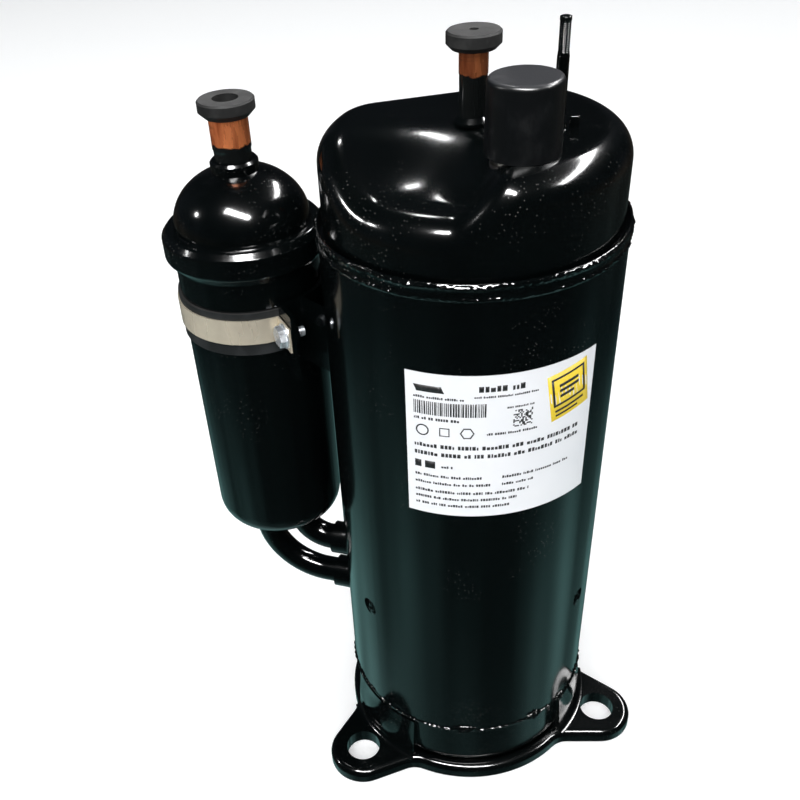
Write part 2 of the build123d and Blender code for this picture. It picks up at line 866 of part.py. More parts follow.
strap_span = strap_ear_azimuth - strap_back_azimuth
with BuildPart() as accumulator_strap:
    with BuildSketch(accumulator_plane(strap_low)):
        with BuildLine():
            CenterArc((0, 0), pad_radius, strap_back_azimuth, strap_span)
            CenterArc((0, 0), strap_radius, strap_back_azimuth, strap_span)
            for end in (strap_back_azimuth, strap_ear_azimuth):
                Line(polar(pad_radius, end), polar(strap_radius, end))
        make_face()
    extrude(amount=strap_high - strap_low)
    # Ends bent outwards: one takes the bolt, the other hooks behind the bracket.
    for end, side, reach in ((strap_ear_azimuth, -0.45, 16), (strap_back_azimuth, 0.45, 5)):
        with BuildSketch(accumulator_plane(strap_low)):
            with Locations(Location((0, 0, 0), (0, 0, end))):
                with Locations((pad_radius + reach / 2, side)):
                    Rectangle(reach, 0.9)
        extrude(amount=strap_high - strap_low)
    ear_plane = Plane(
        origin=accumulator_polar(bolt_offset, strap_ear_azimuth, (strap_low + strap_high) / 2),
        x_dir=polar(1, strap_ear_azimuth),
        z_dir=polar(1, strap_ear_azimuth + 90),
    )
    with BuildSketch(ear_plane.offset(-3)):
        Circle(bolt_radius + 0.15)
    extrude(amount=6, mode=Mode.SUBTRACT)
accumulator_strap.part.label = "accumulator_strap"
export_step(accumulator_strap.part, "parts/accumulator_strap.step")

# Saddle with two webs to the shell and an upright flange for the bolt.
bracket_low = 264.0
bracket_high = 300.5
with BuildPart() as accumulator_bracket:
    with BuildSketch(accumulator_plane(bracket_low)):
        with BuildLine():
            saddle_start = strap_ear_azimuth + 2.0
            saddle_span = 360 + strap_back_azimuth - 2.0 - saddle_start
            CenterArc((0, 0), pad_radius, saddle_start, saddle_span)
            CenterArc((0, 0), saddle_radius, saddle_start, saddle_span)
            for end in (saddle_start, saddle_start + saddle_span):
                Line(polar(pad_radius, end), polar(saddle_radius, end))
        make_face()
    extrude(amount=bracket_high - bracket_low)
    with BuildSketch(accumulator_plane(bracket_low)):
        with Locations(Location((0, 0, 0), (0, 0, strap_ear_azimuth))):
            with Locations((pad_radius + 8.2, 1.6)):
                Rectangle(16.4, 2.3)
    extrude(amount=bracket_high - bracket_low)
    for web_azimuth in (320, 2):
        with BuildSketch(accumulator_plane(bracket_low)):
            with Locations(Location((0, 0, 0), (0, 0, web_azimuth))):
                with Locations((saddle_radius + 10, 0)):
                    Rectangle(22, 2.3)
        extrude(amount=bracket_high - bracket_low)
    with BuildSketch(Plane.XY.offset(bracket_low - 1)):
        Circle(shell_radius + 0.02)
    extrude(amount=bracket_high - bracket_low + 2, mode=Mode.SUBTRACT)
    with BuildSketch(ear_plane.offset(-2)):
        Circle(bolt_radius + 0.15)
    extrude(amount=8, mode=Mode.SUBTRACT)
accumulator_bracket.part.label = "accumulator_bracket"
export_step(accumulator_bracket.part, "parts/accumulator_bracket.step")

with BuildPart() as strap_bolt:
    with BuildSketch(ear_plane.offset(-0.9)):
        RegularPolygon(5.0, 6, major_radius=False)
    extrude(amount=-4.2)
    fillet(strap_bolt.faces().sort_by(Axis(ear_plane.origin, ear_plane.z_dir))[0].edges(), 0.5)
    with BuildSketch(ear_plane.offset(-1.7)):
        Circle(6.6)
    extrude(amount=0.8)
    with BuildSketch(ear_plane.offset(-1)):
        Circle(bolt_radius)
    extrude(amount=bolt_reach + 1)
strap_bolt.part.label = "strap_bolt"
export_step(strap_bolt.part, "parts/strap_bolt.step")

with BuildPart() as strap_nut:
    with BuildSketch(ear_plane.offset(2.8)):
        RegularPolygon(nut_half_width, 6, major_radius=False)
        Circle(bolt_radius, mode=Mode.SUBTRACT)
    extrude(amount=nut_height)
strap_nut.part.label = "strap_nut"
export_step(strap_nut.part, "parts/strap_nut.step")


# ================================================================ pump cylinders
def cylinder_cutter(height_base, outer_radius):
    """Bore, vane slot, spring hole, suction port and bolt holes in one tool."""
    middle = height_base + cylinder_height / 2
    with BuildPart() as cutter:
        with BuildSketch(Plane.XY.offset(height_base)):
            Circle(bore_radius)
            with Locations(Location((0, 0, 0), (0, 0, vane_azimuth))):
                with Locations((vane_slot_end / 2 + 10, 0)):
                    Rectangle(vane_slot_end - 20, vane_width + 2 * slot_clearance)
            with PolarLocations(
                pump_bolt_circle, 5, start_angle=193, angular_range=264, endpoint=True
            ):
                Circle(pump_bolt_radius + 0.1)
        extrude(amount=cylinder_height)
        with BuildSketch(radial_plane(vane_azimuth, middle, 50.1)):
            Circle(spring_hole_radius)
        extrude(amount=outer_radius)
        with BuildSketch(radial_plane(suction_azimuth, middle, 20)):
            Circle(6)
        extrude(amount=outer_radius)
        with BuildSketch(radial_plane(suction_azimuth, middle, 53.9)):
            Circle(elbow_radius + 0.02)
        extrude(amount=outer_radius)
    return cutter.part


with BuildPart() as upper_cylinder:
    with BuildSketch(Plane.XY.offset(upper_cylinder_base)):
        Circle(upper_cylinder_radius)
        with PolarLocations(61, 5, start_angle=215, angular_range=230, endpoint=True):
            SlotOverall(24, 8, rotation=90, mode=Mode.SUBTRACT)
    extrude(amount=cylinder_height)
    add(cylinder_cutter(upper_cylinder_base, upper_cylinder_radius), mode=Mode.SUBTRACT)
upper_cylinder.part.label = "upper_cylinder"
export_step(upper_cylinder.part, "parts/upper_cylinder.step")

with BuildPart() as lower_cylinder:
    with BuildSketch(Plane.XY.offset(lower_cylinder_base)):
        Circle(lower_cylinder_radius)
    extrude(amount=cylinder_height)
    add(cylinder_cutter(lower_cylinder_base, lower_cylinder_radius), mode=Mode.SUBTRACT)
lower_cylinder.part.label = "lower_cylinder"
export_step(lower_cylinder.part, "parts/lower_cylinder.step")

with BuildPart() as partition_plate:
    with BuildSketch(Plane.XY.offset(partition_base)):
        Circle(58)
        Circle(partition_bore, mode=Mode.SUBTRACT)
        with PolarLocations(
            pump_bolt_circle, 5, start_angle=193, angular_range=264, endpoint=True
        ):
            Circle(pump_bolt_radius + 0.1, mode=Mode.SUBTRACT)
    extrude(amount=partition_height)
partition_plate.part.label = "partition_plate"
export_step(partition_plate.part, "parts/partition_plate.step")

# ================================================================ bearings
with BuildPart() as main_bearing:
    with BuildSketch(Plane.XY.offset(upper_cylinder_top)):
        Circle(main_flange_radius)
    extrude(amount=bearing_flange)
    with BuildSketch(Plane.XY.offset(upper_cylinder_top)):
        Circle(main_hub_radius)
    extrude(amount=main_hub_top - upper_cylinder_top)
    with BuildSketch(Plane.XY.offset(upper_cylinder_top)):
        Circle(journal_radius + bearing_clearance)
    extrude(amount=main_hub_top, mode=Mode.SUBTRACT)
    with BuildSketch(Plane.XY.offset(upper_cylinder_top)):
        with Locations(polar(port_offset, port_azimuth)):
            Circle(3.6)
        with PolarLocations(
            pump_bolt_circle, 5, start_angle=193, angular_range=264, endpoint=True
        ):
            Circle(pump_bolt_radius + 0.1)
    extrude(amount=bearing_flange + 1, mode=Mode.SUBTRACT)
main_bearing.part.label = "main_bearing"
export_step(main_bearing.part, "parts/main_bearing.step")

sub_flange_base = lower_cylinder_base - bearing_flange
with BuildPart() as sub_bearing:
    with BuildSketch(Plane.XY.offset(sub_flange_base)):
        Circle(sub_flange_radius)
    extrude(amount=bearing_flange)
    with BuildSketch(Plane.XY.offset(sub_hub_bottom)):
        Circle(sub_hub_radius)
    extrude(amount=sub_flange_base - sub_hub_bottom)
    with BuildSketch(Plane.XY.offset(sub_hub_bottom)):
        Circle(sub_journal_radius + bearing_clearance)
    extrude(amount=40, mode=Mode.SUBTRACT)
    with BuildSketch(Plane.XY.offset(sub_flange_base)):
        with Locations(polar(port_offset, port_azimuth)):
            Circle(3.6)
        with PolarLocations(
            pump_bolt_circle, 5, start_angle=193, angular_range=264, endpoint=True
        ):
            Circle(pump_bolt_radius)
    extrude(amount=bearing_flange, mode=Mode.SUBTRACT)
sub_bearing.part.label = "sub_bearing"
export_step(sub_bearing.part, "parts/sub_bearing.step")

# Pressed covers that quieten the discharge on each side of the pump.
muffler_seat = upper_cylinder_top + bearing_flange
with BuildPart() as pump_mufflers:
    with BuildSketch(Plane.XZ):
        with BuildLine():
            top = muffler_seat + 20
            Polyline(
                (main_flange_radius - 1, muffler_seat),
                (main_flange_radius - 1, muffler_seat + muffler_sheet),
                (muffler_radius + 1, muffler_seat + muffler_sheet),
                (muffler_radius - 1, top),
                (main_hub_radius + 2.5, top),
                (main_hub_radius + 2.5, top - muffler_sheet),
                (muffler_radius - 2, top - muffler_sheet),
                (muffler_radius, muffler_seat),
                close=True,
            )
        make_face()
    revolve(axis=Axis.Z)
    with BuildSketch(Plane.XZ):
        with BuildLine():
            floor = sub_flange_base - 14
            Polyline(
                (sub_flange_radius - 1, sub_flange_base),
                (sub_flange_radius - 1, sub_flange_base - muffler_sheet),
                (muffler_radius + 1, sub_flange_base - muffler_sheet),
                (muffler_radius - 1, floor),
                (sub_hub_radius + 0.05, floor),
                (sub_hub_radius + 0.05, floor + muffler_sheet),
                (muffler_radius - 2, floor + muffler_sheet),
                (muffler_radius, sub_flange_base),
                close=True,
            )
        make_face()
    revolve(axis=Axis.Z)
    for sheet_base in (muffler_seat, sub_flange_base - muffler_sheet):
        with BuildSketch(Plane.XY.offset(sheet_base)):
            with PolarLocations(
                pump_bolt_circle, 5, start_angle=193, angular_range=264, endpoint=True
            ):
                Circle(pump_bolt_radius + 0.1)
        extrude(amount=muffler_sheet, mode=Mode.SUBTRACT)
pump_mufflers.part.label = "pump_mufflers"
export_step(pump_mufflers.part, "parts/pump_mufflers.step")

with BuildPart() as pump_bolts:
    bolt_bottom = sub_flange_base - 4
    bolt_seat = muffler_seat + muffler_sheet
    with BuildSketch(Plane.XY.offset(bolt_bottom)):
        with PolarLocations(
            pump_bolt_circle, 5, start_angle=193, angular_range=264, endpoint=True
        ):
            Circle(pump_bolt_radius)
    extrude(amount=bolt_seat - bolt_bottom)
    with BuildSketch(Plane.XY.offset(bolt_seat)):
        with PolarLocations(
            pump_bolt_circle, 5, start_angle=193, angular_range=264, endpoint=True
        ):
            Circle(5)
    extrude(amount=6)
    with BuildSketch(Plane.XY.offset(bolt_seat + 3)):
        with PolarLocations(
            pump_bolt_circle, 5, start_angle=193, angular_range=264, endpoint=True
        ):
            RegularPolygon(2.5, 6, major_radius=False)
    extrude(amount=4, mode=Mode.SUBTRACT)
pump_bolts.part.label = "pump_bolts"
export_step(pump_bolts.part, "parts/pump_bolts.step")

# ================================================================ discharge reeds
reed_azimuth = port_azimuth - 90
reed_end = reed_length - 5.0
port_x = port_offset * cos(radians(port_azimuth))
port_y = port_offset * sin(radians(port_azimuth))


def reed_plane(height, up):
    """Plane on a valve seat: local X runs from the reed's tip to its root."""
    return Plane(
        origin=(port_x, port_y, height),
        x_dir=polar(1, reed_azimuth),
        z_dir=(0, 0, up),
    )


def reed_outline():
    """Tongue of a reed: round over the port, straight to its root."""
    Circle(4.6)
    with Locations((reed_end / 2, 0)):
        Rectangle(reed_end, 6.4)


with BuildPart() as upper_reed:
    with BuildSketch(reed_plane(muffler_seat + 0.02, 1)):
        reed_outline()
    extrude(amount=reed_sheet)
upper_reed.part.label = "upper_reed"
export_step(upper_reed.part, "parts/upper_reed.step")

with BuildPart() as lower_reed:
    with BuildSketch(reed_plane(sub_flange_base - 0.02, -1)):
        reed_outline()
    extrude(amount=reed_sheet)
lower_reed.part.label = "lower_reed"
export_step(lower_reed.part, "parts/lower_reed.step")

with BuildPart() as valve_retainers:
    for seat, up in ((muffler_seat, 1), (sub_flange_base, -1)):
        side_plane = Plane(
            origin=(port_x, port_y, seat),
            x_dir=polar(1, reed_azimuth),
            z_dir=tuple(-up * v for v in polar(1, reed_azimuth + 90)),
        )
        with BuildSketch(side_plane):
            with BuildLine():
                Polyline(
                    (reed_end + 0.15, 0),
                    (reed_end + 6.5, 0),
                    (reed_end + 6.5, 2.0),
                    (reed_end - 1, 2.0),
                    (-4.6, 4.6),
                    (-4.6, 3.2),
                    (reed_end + 0.15, 0.7),
                    close=True,
                )
            make_face()
        extrude(amount=3.3, both=True)
        with BuildSketch(reed_plane(seat, up)):
            with Locations((reed_end + 3.4, 0)):
                Circle(2.2)
        extrude(amount=2.8)
valve_retainers.part.label = "valve_retainers"
export_step(valve_retainers.part, "parts/valve_retainers.step")


# ================================================================ vanes and springs
def vane_blank(height_base):
    """Sliding vane with a rounded nose on the roller side."""
    with BuildPart() as vane:
        with BuildSketch(Plane.XY.offset(height_base + 0.03)):
            with Locations(Location((0, 0, 0), (0, 0, vane_azimuth))):
                with Locations((bore_radius + 0.05 + vane_length / 2, 0)):
                    Rectangle(vane_length, vane_width)
        extrude(amount=cylinder_height - 0.06)
        upright = vane.edges().filter_by(Axis.Z)
        nose = upright.sort_by(lambda e: e.center().X ** 2 + e.center().Y ** 2)[:2]
        fillet(nose, 1.6)
    return vane.part


with BuildPart() as upper_vane:
    add(vane_blank(upper_cylinder_base))
upper_vane.part.label = "upper_vane"
export_step(upper_vane.part, "parts/upper_vane.step")

with BuildPart() as lower_vane:
    add(vane_blank(lower_cylinder_base))
lower_vane.part.label = "lower_vane"
export_step(lower_vane.part, "parts/lower_vane.step")

with BuildPart() as vane_springs:
    for port_height in (lower_port_height, upper_port_height):
        with BuildLine() as spring_path:
            Helix(
                pitch=1.9,
                height=8.0,
                radius=3.3,
                center=polar(bore_radius + vane_length + 0.8, vane_azimuth, port_height),
                direction=polar(1, vane_azimuth),
            )
        coil = spring_path.wires()[0]
        with BuildSketch(Plane(origin=coil @ 0, z_dir=coil % 0)):
            Circle(0.45)
        sweep(path=coil, is_frenet=True)
vane_springs.part.label = "vane_springs"
export_step(vane_springs.part, "parts/vane_springs.step")


# ================================================================ crank and rollers
upper_pin = polar(eccentricity, vane_azimuth + 90)
lower_pin = polar(eccentricity, vane_azimuth - 90)

with BuildPart() as crankshaft:
    with BuildSketch(Plane.XY.offset(shaft_bottom)):
        Circle(sub_journal_radius)
    extrude(amount=lower_cylinder_base + 0.1 - shaft_bottom)
    for pin_centre, pin_base in (
        (lower_pin, lower_cylinder_base),
        (upper_pin, upper_cylinder_base),
    ):
        with BuildSketch(Plane.XY.offset(pin_base + 0.1)):
            with Locations(pin_centre):
                Circle(crankpin_radius)
        extrude(amount=cylinder_height - 0.2)
    with BuildSketch(Plane.XY.offset(partition_base - 0.2)):
        Circle(journal_radius)
    extrude(amount=partition_height + 0.4)
    with BuildSketch(Plane.XY.offset(upper_cylinder_top - 0.2)):
        Circle(journal_radius)
    extrude(amount=shaft_top - upper_cylinder_top + 0.2)
    with BuildSketch(Plane.XY.offset(shaft_bottom)):
        Circle(4.0)
    extrude(amount=shaft_top - shaft_bottom, mode=Mode.SUBTRACT)
    # Cross holes that feed oil to the pins and the bearings.
    for hole_height in (70, lower_port_height, upper_port_height, 150):
        with BuildSketch(radial_plane(0, hole_height)):
            Circle(1.5)
        extrude(amount=30, mode=Mode.SUBTRACT)
crankshaft.part.label = "crankshaft"
export_step(crankshaft.part, "parts/crankshaft.step")

with BuildPart() as oil_paddle:
    with BuildSketch(Plane.XY.offset(shaft_bottom + 1)):
        Rectangle(7.8, 0.8)
    extrude(amount=48)
oil_paddle.part.label = "oil_paddle"
export_step(oil_paddle.part, "parts/oil_paddle.step")

roller_radius = bore_radius - eccentricity - roller_clearance
with BuildPart() as upper_roller:
    with BuildSketch(Plane.XY.offset(upper_cylinder_base + 0.03)):
        with Locations(upper_pin):
            Circle(roller_radius)
            Circle(crankpin_radius + bearing_clearance, mode=Mode.SUBTRACT)
    extrude(amount=cylinder_height - 0.06)
upper_roller.part.label = "upper_roller"
export_step(upper_roller.part, "parts/upper_roller.step")

with BuildPart() as lower_roller:
    with BuildSketch(Plane.XY.offset(lower_cylinder_base + 0.03)):
        with Locations(lower_pin):
            Circle(roller_radius)
            Circle(crankpin_radius + bearing_clearance, mode=Mode.SUBTRACT)
    extrude(amount=cylinder_height - 0.06)
lower_roller.part.label = "lower_roller"
export_step(lower_roller.part, "parts/lower_roller.step")

# ================================================================ motor stator
slot_step = 360 / slot_count
slot_slope = sin(radians(slot_step / 2)) / cos(radians(slot_step / 2))


def slot_half_width(radius):
    """Half width of a winding slot, measured at a radius."""
    return radius * slot_slope - tooth_half_width


def slot_outlines(mode):
    """Winding slots between the teeth, added or cut in the current sketch."""
    with PolarLocations(0, slot_count, start_angle=slot_step / 2):
        Polygon(
            (slot_inner, -slot_half_width(slot_inner)),
            (slot_outer, -slot_half_width(slot_outer)),
            (slot_outer, slot_half_width(slot_outer)),
            (slot_inner, slot_half_width(slot_inner)),
            align=None,
            mode=mode,
        )


with BuildPart() as stator_core:
    with BuildSketch(Plane.XY.offset(stack_base)):
        Circle(stator_radius)
        Circle(stator_bore, mode=Mode.SUBTRACT)
        slot_outlines(Mode.SUBTRACT)
        with PolarLocations(39.5, slot_count, start_angle=slot_step / 2):
            Rectangle(6, 2.6, mode=Mode.SUBTRACT)
        # Flats on the rim let oil drain past the stack.
        with PolarLocations(stator_radius, 6):
            Rectangle(3.2, 18, mode=Mode.SUBTRACT)
    extrude(amount=stack_top - stack_base)
stator_core.part.label = "stator_core"
export_step(stator_core.part, "parts/stator_core.step")

with BuildPart() as stator_insulators:
    for face_height, direction in ((stack_top, 1), (stack_base, -1)):
        with BuildSketch(Plane.XY.offset(face_height)):
            Circle(62.5)
            Circle(40.5, mode=Mode.SUBTRACT)
            slot_outlines(Mode.SUBTRACT)
        extrude(amount=1.5 * direction)
        with BuildSketch(Plane.XY.offset(face_height)):
            Circle(62.5)
            Circle(60.8, mode=Mode.SUBTRACT)
        extrude(amount=19 * direction)
        with BuildSketch(Plane.XY.offset(face_height)):
            with PolarLocations(0, slot_count):
                with Locations((41.4, 0)):
                    Rectangle(1.6, 17)
        extrude(amount=15 * direction)
stator_insulators.part.label = "stator_insulators"
export_step(stator_insulators.part, "parts/stator_insulators.step")

coil_inner = 43.0
coil_outer = 58.5
coil_half_width = tooth_half_width + 7.4
coil_overhang = 15.0
with BuildPart() as stator_windings:
    with BuildSketch(Plane.XY.offset(stack_top + 1.6)):
        with PolarLocations((coil_inner + coil_outer) / 2, slot_count):
            Rectangle(coil_outer - coil_inner, 2 * coil_half_width)
    extrude(amount=coil_overhang - 1.6)
    with BuildSketch(Plane.XY.offset(stack_base - coil_overhang)):
        with PolarLocations((coil_inner + coil_outer) / 2, slot_count):
            Rectangle(coil_outer - coil_inner, 2 * coil_half_width)
    extrude(amount=coil_overhang - 1.6)
    with BuildSketch(Plane.XY.offset(stack_base - 1.6)):
        with PolarLocations((coil_inner + coil_outer) / 2, slot_count):
            for side in (-1, 1):
                with Locations((0, side * (tooth_half_width + 4))):
                    Rectangle(coil_outer - coil_inner, 6.8)
    extrude(amount=stack_top - stack_base + 3.2)
stator_windings.part.label = "stator_windings"
export_step(stator_windings.part, "parts/stator_windings.step")

# ================================================================ motor rotor
with BuildPart() as rotor_core:
    with BuildSketch(Plane.XY.offset(stack_base)):
        Circle(rotor_radius)
        Circle(journal_radius, mode=Mode.SUBTRACT)
        with PolarLocations(magnet_offset, pole_count):
            Rectangle(4.6, 29, mode=Mode.SUBTRACT)
        with PolarLocations(rivet_circle, pole_count, start_angle=30):
            Circle(rivet_radius + 0.1, mode=Mode.SUBTRACT)
    extrude(amount=stack_top - stack_base)
rotor_core.part.label = "rotor_core"
export_step(rotor_core.part, "parts/rotor_core.step")

with BuildPart() as rotor_magnets:
    with BuildSketch(Plane.XY.offset(stack_base + 0.5)):
        with PolarLocations(magnet_offset, pole_count):
            Rectangle(4.4, 28.6)
    extrude(amount=stack_top - stack_base - 1)
rotor_magnets.part.label = "rotor_magnets"
export_step(rotor_magnets.part, "parts/rotor_magnets.step")

with BuildPart() as rotor_end_plates:
    for plate_base in (stack_base - end_plate, stack_top):
        with BuildSketch(Plane.XY.offset(plate_base)):
            Circle(34.8)
            Circle(journal_radius + 1, mode=Mode.SUBTRACT)
            with PolarLocations(rivet_circle, pole_count, start_angle=30):
                Circle(rivet_radius + 0.1, mode=Mode.SUBTRACT)
        extrude(amount=end_plate)
rotor_end_plates.part.label = "rotor_end_plates"
export_step(rotor_end_plates.part, "parts/rotor_end_plates.step")

with BuildPart() as rotor_rivets:
    for head_base in (stack_base - end_plate - rivet_head_height, stack_top + end_plate):
        with BuildSketch(Plane.XY.offset(head_base)):
            with PolarLocations(rivet_circle, pole_count, start_angle=30):
                Circle(rivet_head_radius)
        extrude(amount=rivet_head_height)
    with BuildSketch(Plane.XY.offset(stack_base - end_plate)):
        with PolarLocations(rivet_circle, pole_count, start_angle=30):
            Circle(rivet_radius)
    extrude(amount=stack_top - stack_base + 2 * end_plate)
rotor_rivets.part.label = "rotor_rivets"
export_step(rotor_rivets.part, "parts/rotor_rivets.step")


def balance_sketch(azimuth):
    """Half ring that offsets an eccentric, centred on an azimuth."""
    Circle(34)
    Circle(22.6, mode=Mode.SUBTRACT)
    with Locations(Location((0, 0, 0), (0, 0, azimuth))):
        with Locations((-40, 0)):
            Rectangle(80, 90, mode=Mode.SUBTRACT)


with BuildPart() as balance_weights:
    for weight_base, azimuth in (
        (stack_top + end_plate, vane_azimuth + 90),
        (stack_base - end_plate - weight_height, vane_azimuth - 90),
    ):
        with BuildSketch(Plane.XY.offset(weight_base)):
            balance_sketch(azimuth)
        extrude(amount=weight_height)
balance_weights.part.label = "balance_weights"
export_step(balance_weights.part, "parts/balance_weights.step")

# ================================================================ internal leads
# Cluster block that pushes onto the inner ends of the terminal pins.
block_base = plateau_height - 20
with BuildPart() as lead_connector:
    with BuildSketch(Plane.XY.offset(block_base)):
        with Locations((cover_x, cover_y)):
            Circle(9.6)
    extrude(amount=11)
    with BuildSketch(Plane.XY.offset(block_base + 4)):
        with Locations((cover_x, cover_y)):
            with PolarLocations(pin_circle_radius, 3, start_angle=90):
                Circle(pin_radius)
    extrude(amount=10, mode=Mode.SUBTRACT)
lead_connector.part.label = "lead_connector"
export_step(lead_connector.part, "parts/lead_connector.step")

with BuildPart() as lead_wires:
    for wire, azimuth in enumerate((285, 300, 315)):
        foot_x, foot_y, foot_z = polar(57, azimuth, stack_top + coil_overhang)
        top_x, top_y, top_z = (
            cover_x + 5.2 * cos(radians(210 + 120 * wire)),
            cover_y + 5.2 * sin(radians(210 + 120 * wire)),
            block_base,
        )
        with BuildLine() as wire_path:
            FilletPolyline(
                (foot_x, foot_y, foot_z),
                (foot_x, foot_y, foot_z + 30),
                (top_x, top_y, top_z - 26),
                (top_x, top_y, top_z),
                radius=8,
            )
        lead = wire_path.wires()[0]
        with BuildSketch(Plane(origin=lead @ 0, z_dir=lead % 0)):
            Circle(1.5)
        sweep(path=lead)
lead_wires.part.label = "lead_wires"
export_step(lead_wires.part, "parts/lead_wires.step")
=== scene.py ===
"""Looks of a hermetic rotary compressor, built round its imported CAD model. Metres, +Z up."""
import json
import math
import random

import bpy
from mathutils import Matrix, Vector, noise


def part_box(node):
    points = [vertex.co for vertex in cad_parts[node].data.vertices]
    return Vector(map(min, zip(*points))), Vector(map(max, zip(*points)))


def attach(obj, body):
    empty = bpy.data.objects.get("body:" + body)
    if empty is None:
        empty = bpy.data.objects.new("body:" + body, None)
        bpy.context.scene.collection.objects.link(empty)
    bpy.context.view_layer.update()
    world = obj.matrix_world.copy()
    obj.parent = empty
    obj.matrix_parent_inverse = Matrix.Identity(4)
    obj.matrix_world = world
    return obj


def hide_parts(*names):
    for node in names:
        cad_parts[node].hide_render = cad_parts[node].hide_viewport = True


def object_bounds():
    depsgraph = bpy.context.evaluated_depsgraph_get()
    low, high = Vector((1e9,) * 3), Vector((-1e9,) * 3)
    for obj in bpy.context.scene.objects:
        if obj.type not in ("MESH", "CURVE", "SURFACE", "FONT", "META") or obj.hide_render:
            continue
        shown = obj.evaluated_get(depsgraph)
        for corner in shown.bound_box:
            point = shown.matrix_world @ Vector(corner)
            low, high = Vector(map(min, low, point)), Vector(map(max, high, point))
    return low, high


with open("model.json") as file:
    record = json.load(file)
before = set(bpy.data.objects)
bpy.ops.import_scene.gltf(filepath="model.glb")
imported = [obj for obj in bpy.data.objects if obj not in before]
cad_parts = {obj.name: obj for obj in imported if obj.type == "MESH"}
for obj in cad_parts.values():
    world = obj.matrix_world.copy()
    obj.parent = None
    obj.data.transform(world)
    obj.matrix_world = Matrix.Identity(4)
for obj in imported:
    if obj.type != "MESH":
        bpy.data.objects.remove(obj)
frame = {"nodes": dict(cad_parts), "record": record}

cad_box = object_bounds()
MM = 0.001


def polar(radius, azimuth, height=0.0):
    """Point at a radius and an azimuth in degrees about the shell's axis."""
    angle = math.radians(azimuth)
    return Vector((radius * math.cos(angle), radius * math.sin(angle), height))


def smoothstep(low, high, value):
    """0 below low, 1 above high, and smooth between them."""
    share = min(1.0, max(0.0, (value - low) / (high - low)))
    return share * share * (3 - 2 * share)


# ---------------------------------------------------------------- places taken from the frame
shell_low, shell_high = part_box("main_shell")
cap_low, cap_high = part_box("upper_cap")
SHELL_R = shell_high.x
SHELL_TOP = shell_high.z
SHELL_BOTTOM = shell_low.z
CAP_R = cap_high.x
PLATEAU = cap_high.z
stud_low, stud_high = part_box("cover_stud")
weld_low, weld_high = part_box("plug_welds")
WELD_HEIGHT = (weld_low.z + weld_high.z) / 2


# ================================================================ camera, floor and light
def make_camera():
    """Camera at the photograph's place: above the object, a little turned and rolled."""
    pitch, turn, roll = 38.128, 7.879, -4.061
    data = bpy.data.cameras.new("camera")
    camera = bpy.data.objects.new("camera", data)
    bpy.context.scene.collection.objects.link(camera)
    data.sensor_width = 36.0
    data.lens = 42.58
    data.shift_x = 0.0434
    data.shift_y = 0.0726
    data.clip_start = 0.01
    data.clip_end = 50.0
    camera.matrix_world = (
        Matrix.Translation((0, -0.42402, 0.5317))
        @ Matrix.Rotation(math.radians(turn), 4, "Z")
        @ Matrix.Rotation(math.radians(90 - pitch), 4, "X")
        @ Matrix.Rotation(math.radians(roll), 4, "Z")
    )
    bpy.context.scene.camera = camera


MIDDLE = (0, 0, 0.25)


def area_light(name, place, target, size, power):
    """Rectangular light at a place, facing a target."""
    data = bpy.data.lights.new(name, "AREA")
    data.shape = "RECTANGLE"
    data.size, data.size_y = size
    data.energy = power
    light = bpy.data.objects.new(name, data)
    bpy.context.scene.collection.objects.link(light)
    light.location = place
    light.rotation_mode = "QUATERNION"
    light.rotation_quaternion = (Vector(target) - Vector(place)).to_track_quat("-Z", "Y")
    return light


def tube_light(name, start, end, width, power):
    """Long narrow light between two points, facing the object."""
    start, end = Vector(start), Vector(end)
    place = (start + end) / 2
    along = (end - start).normalized()
    facing = (Vector(MIDDLE) - place).normalized()
    facing = (facing - along * facing.dot(along)).normalized()
    side = along.cross(facing).normalized()
    light = area_light(name, place, MIDDLE, ((end - start).length, width), power)
    turn = Matrix((along, side, -facing)).transposed()
    light.rotation_quaternion = turn.to_quaternion()
    light.visible_diffuse = False
    return light


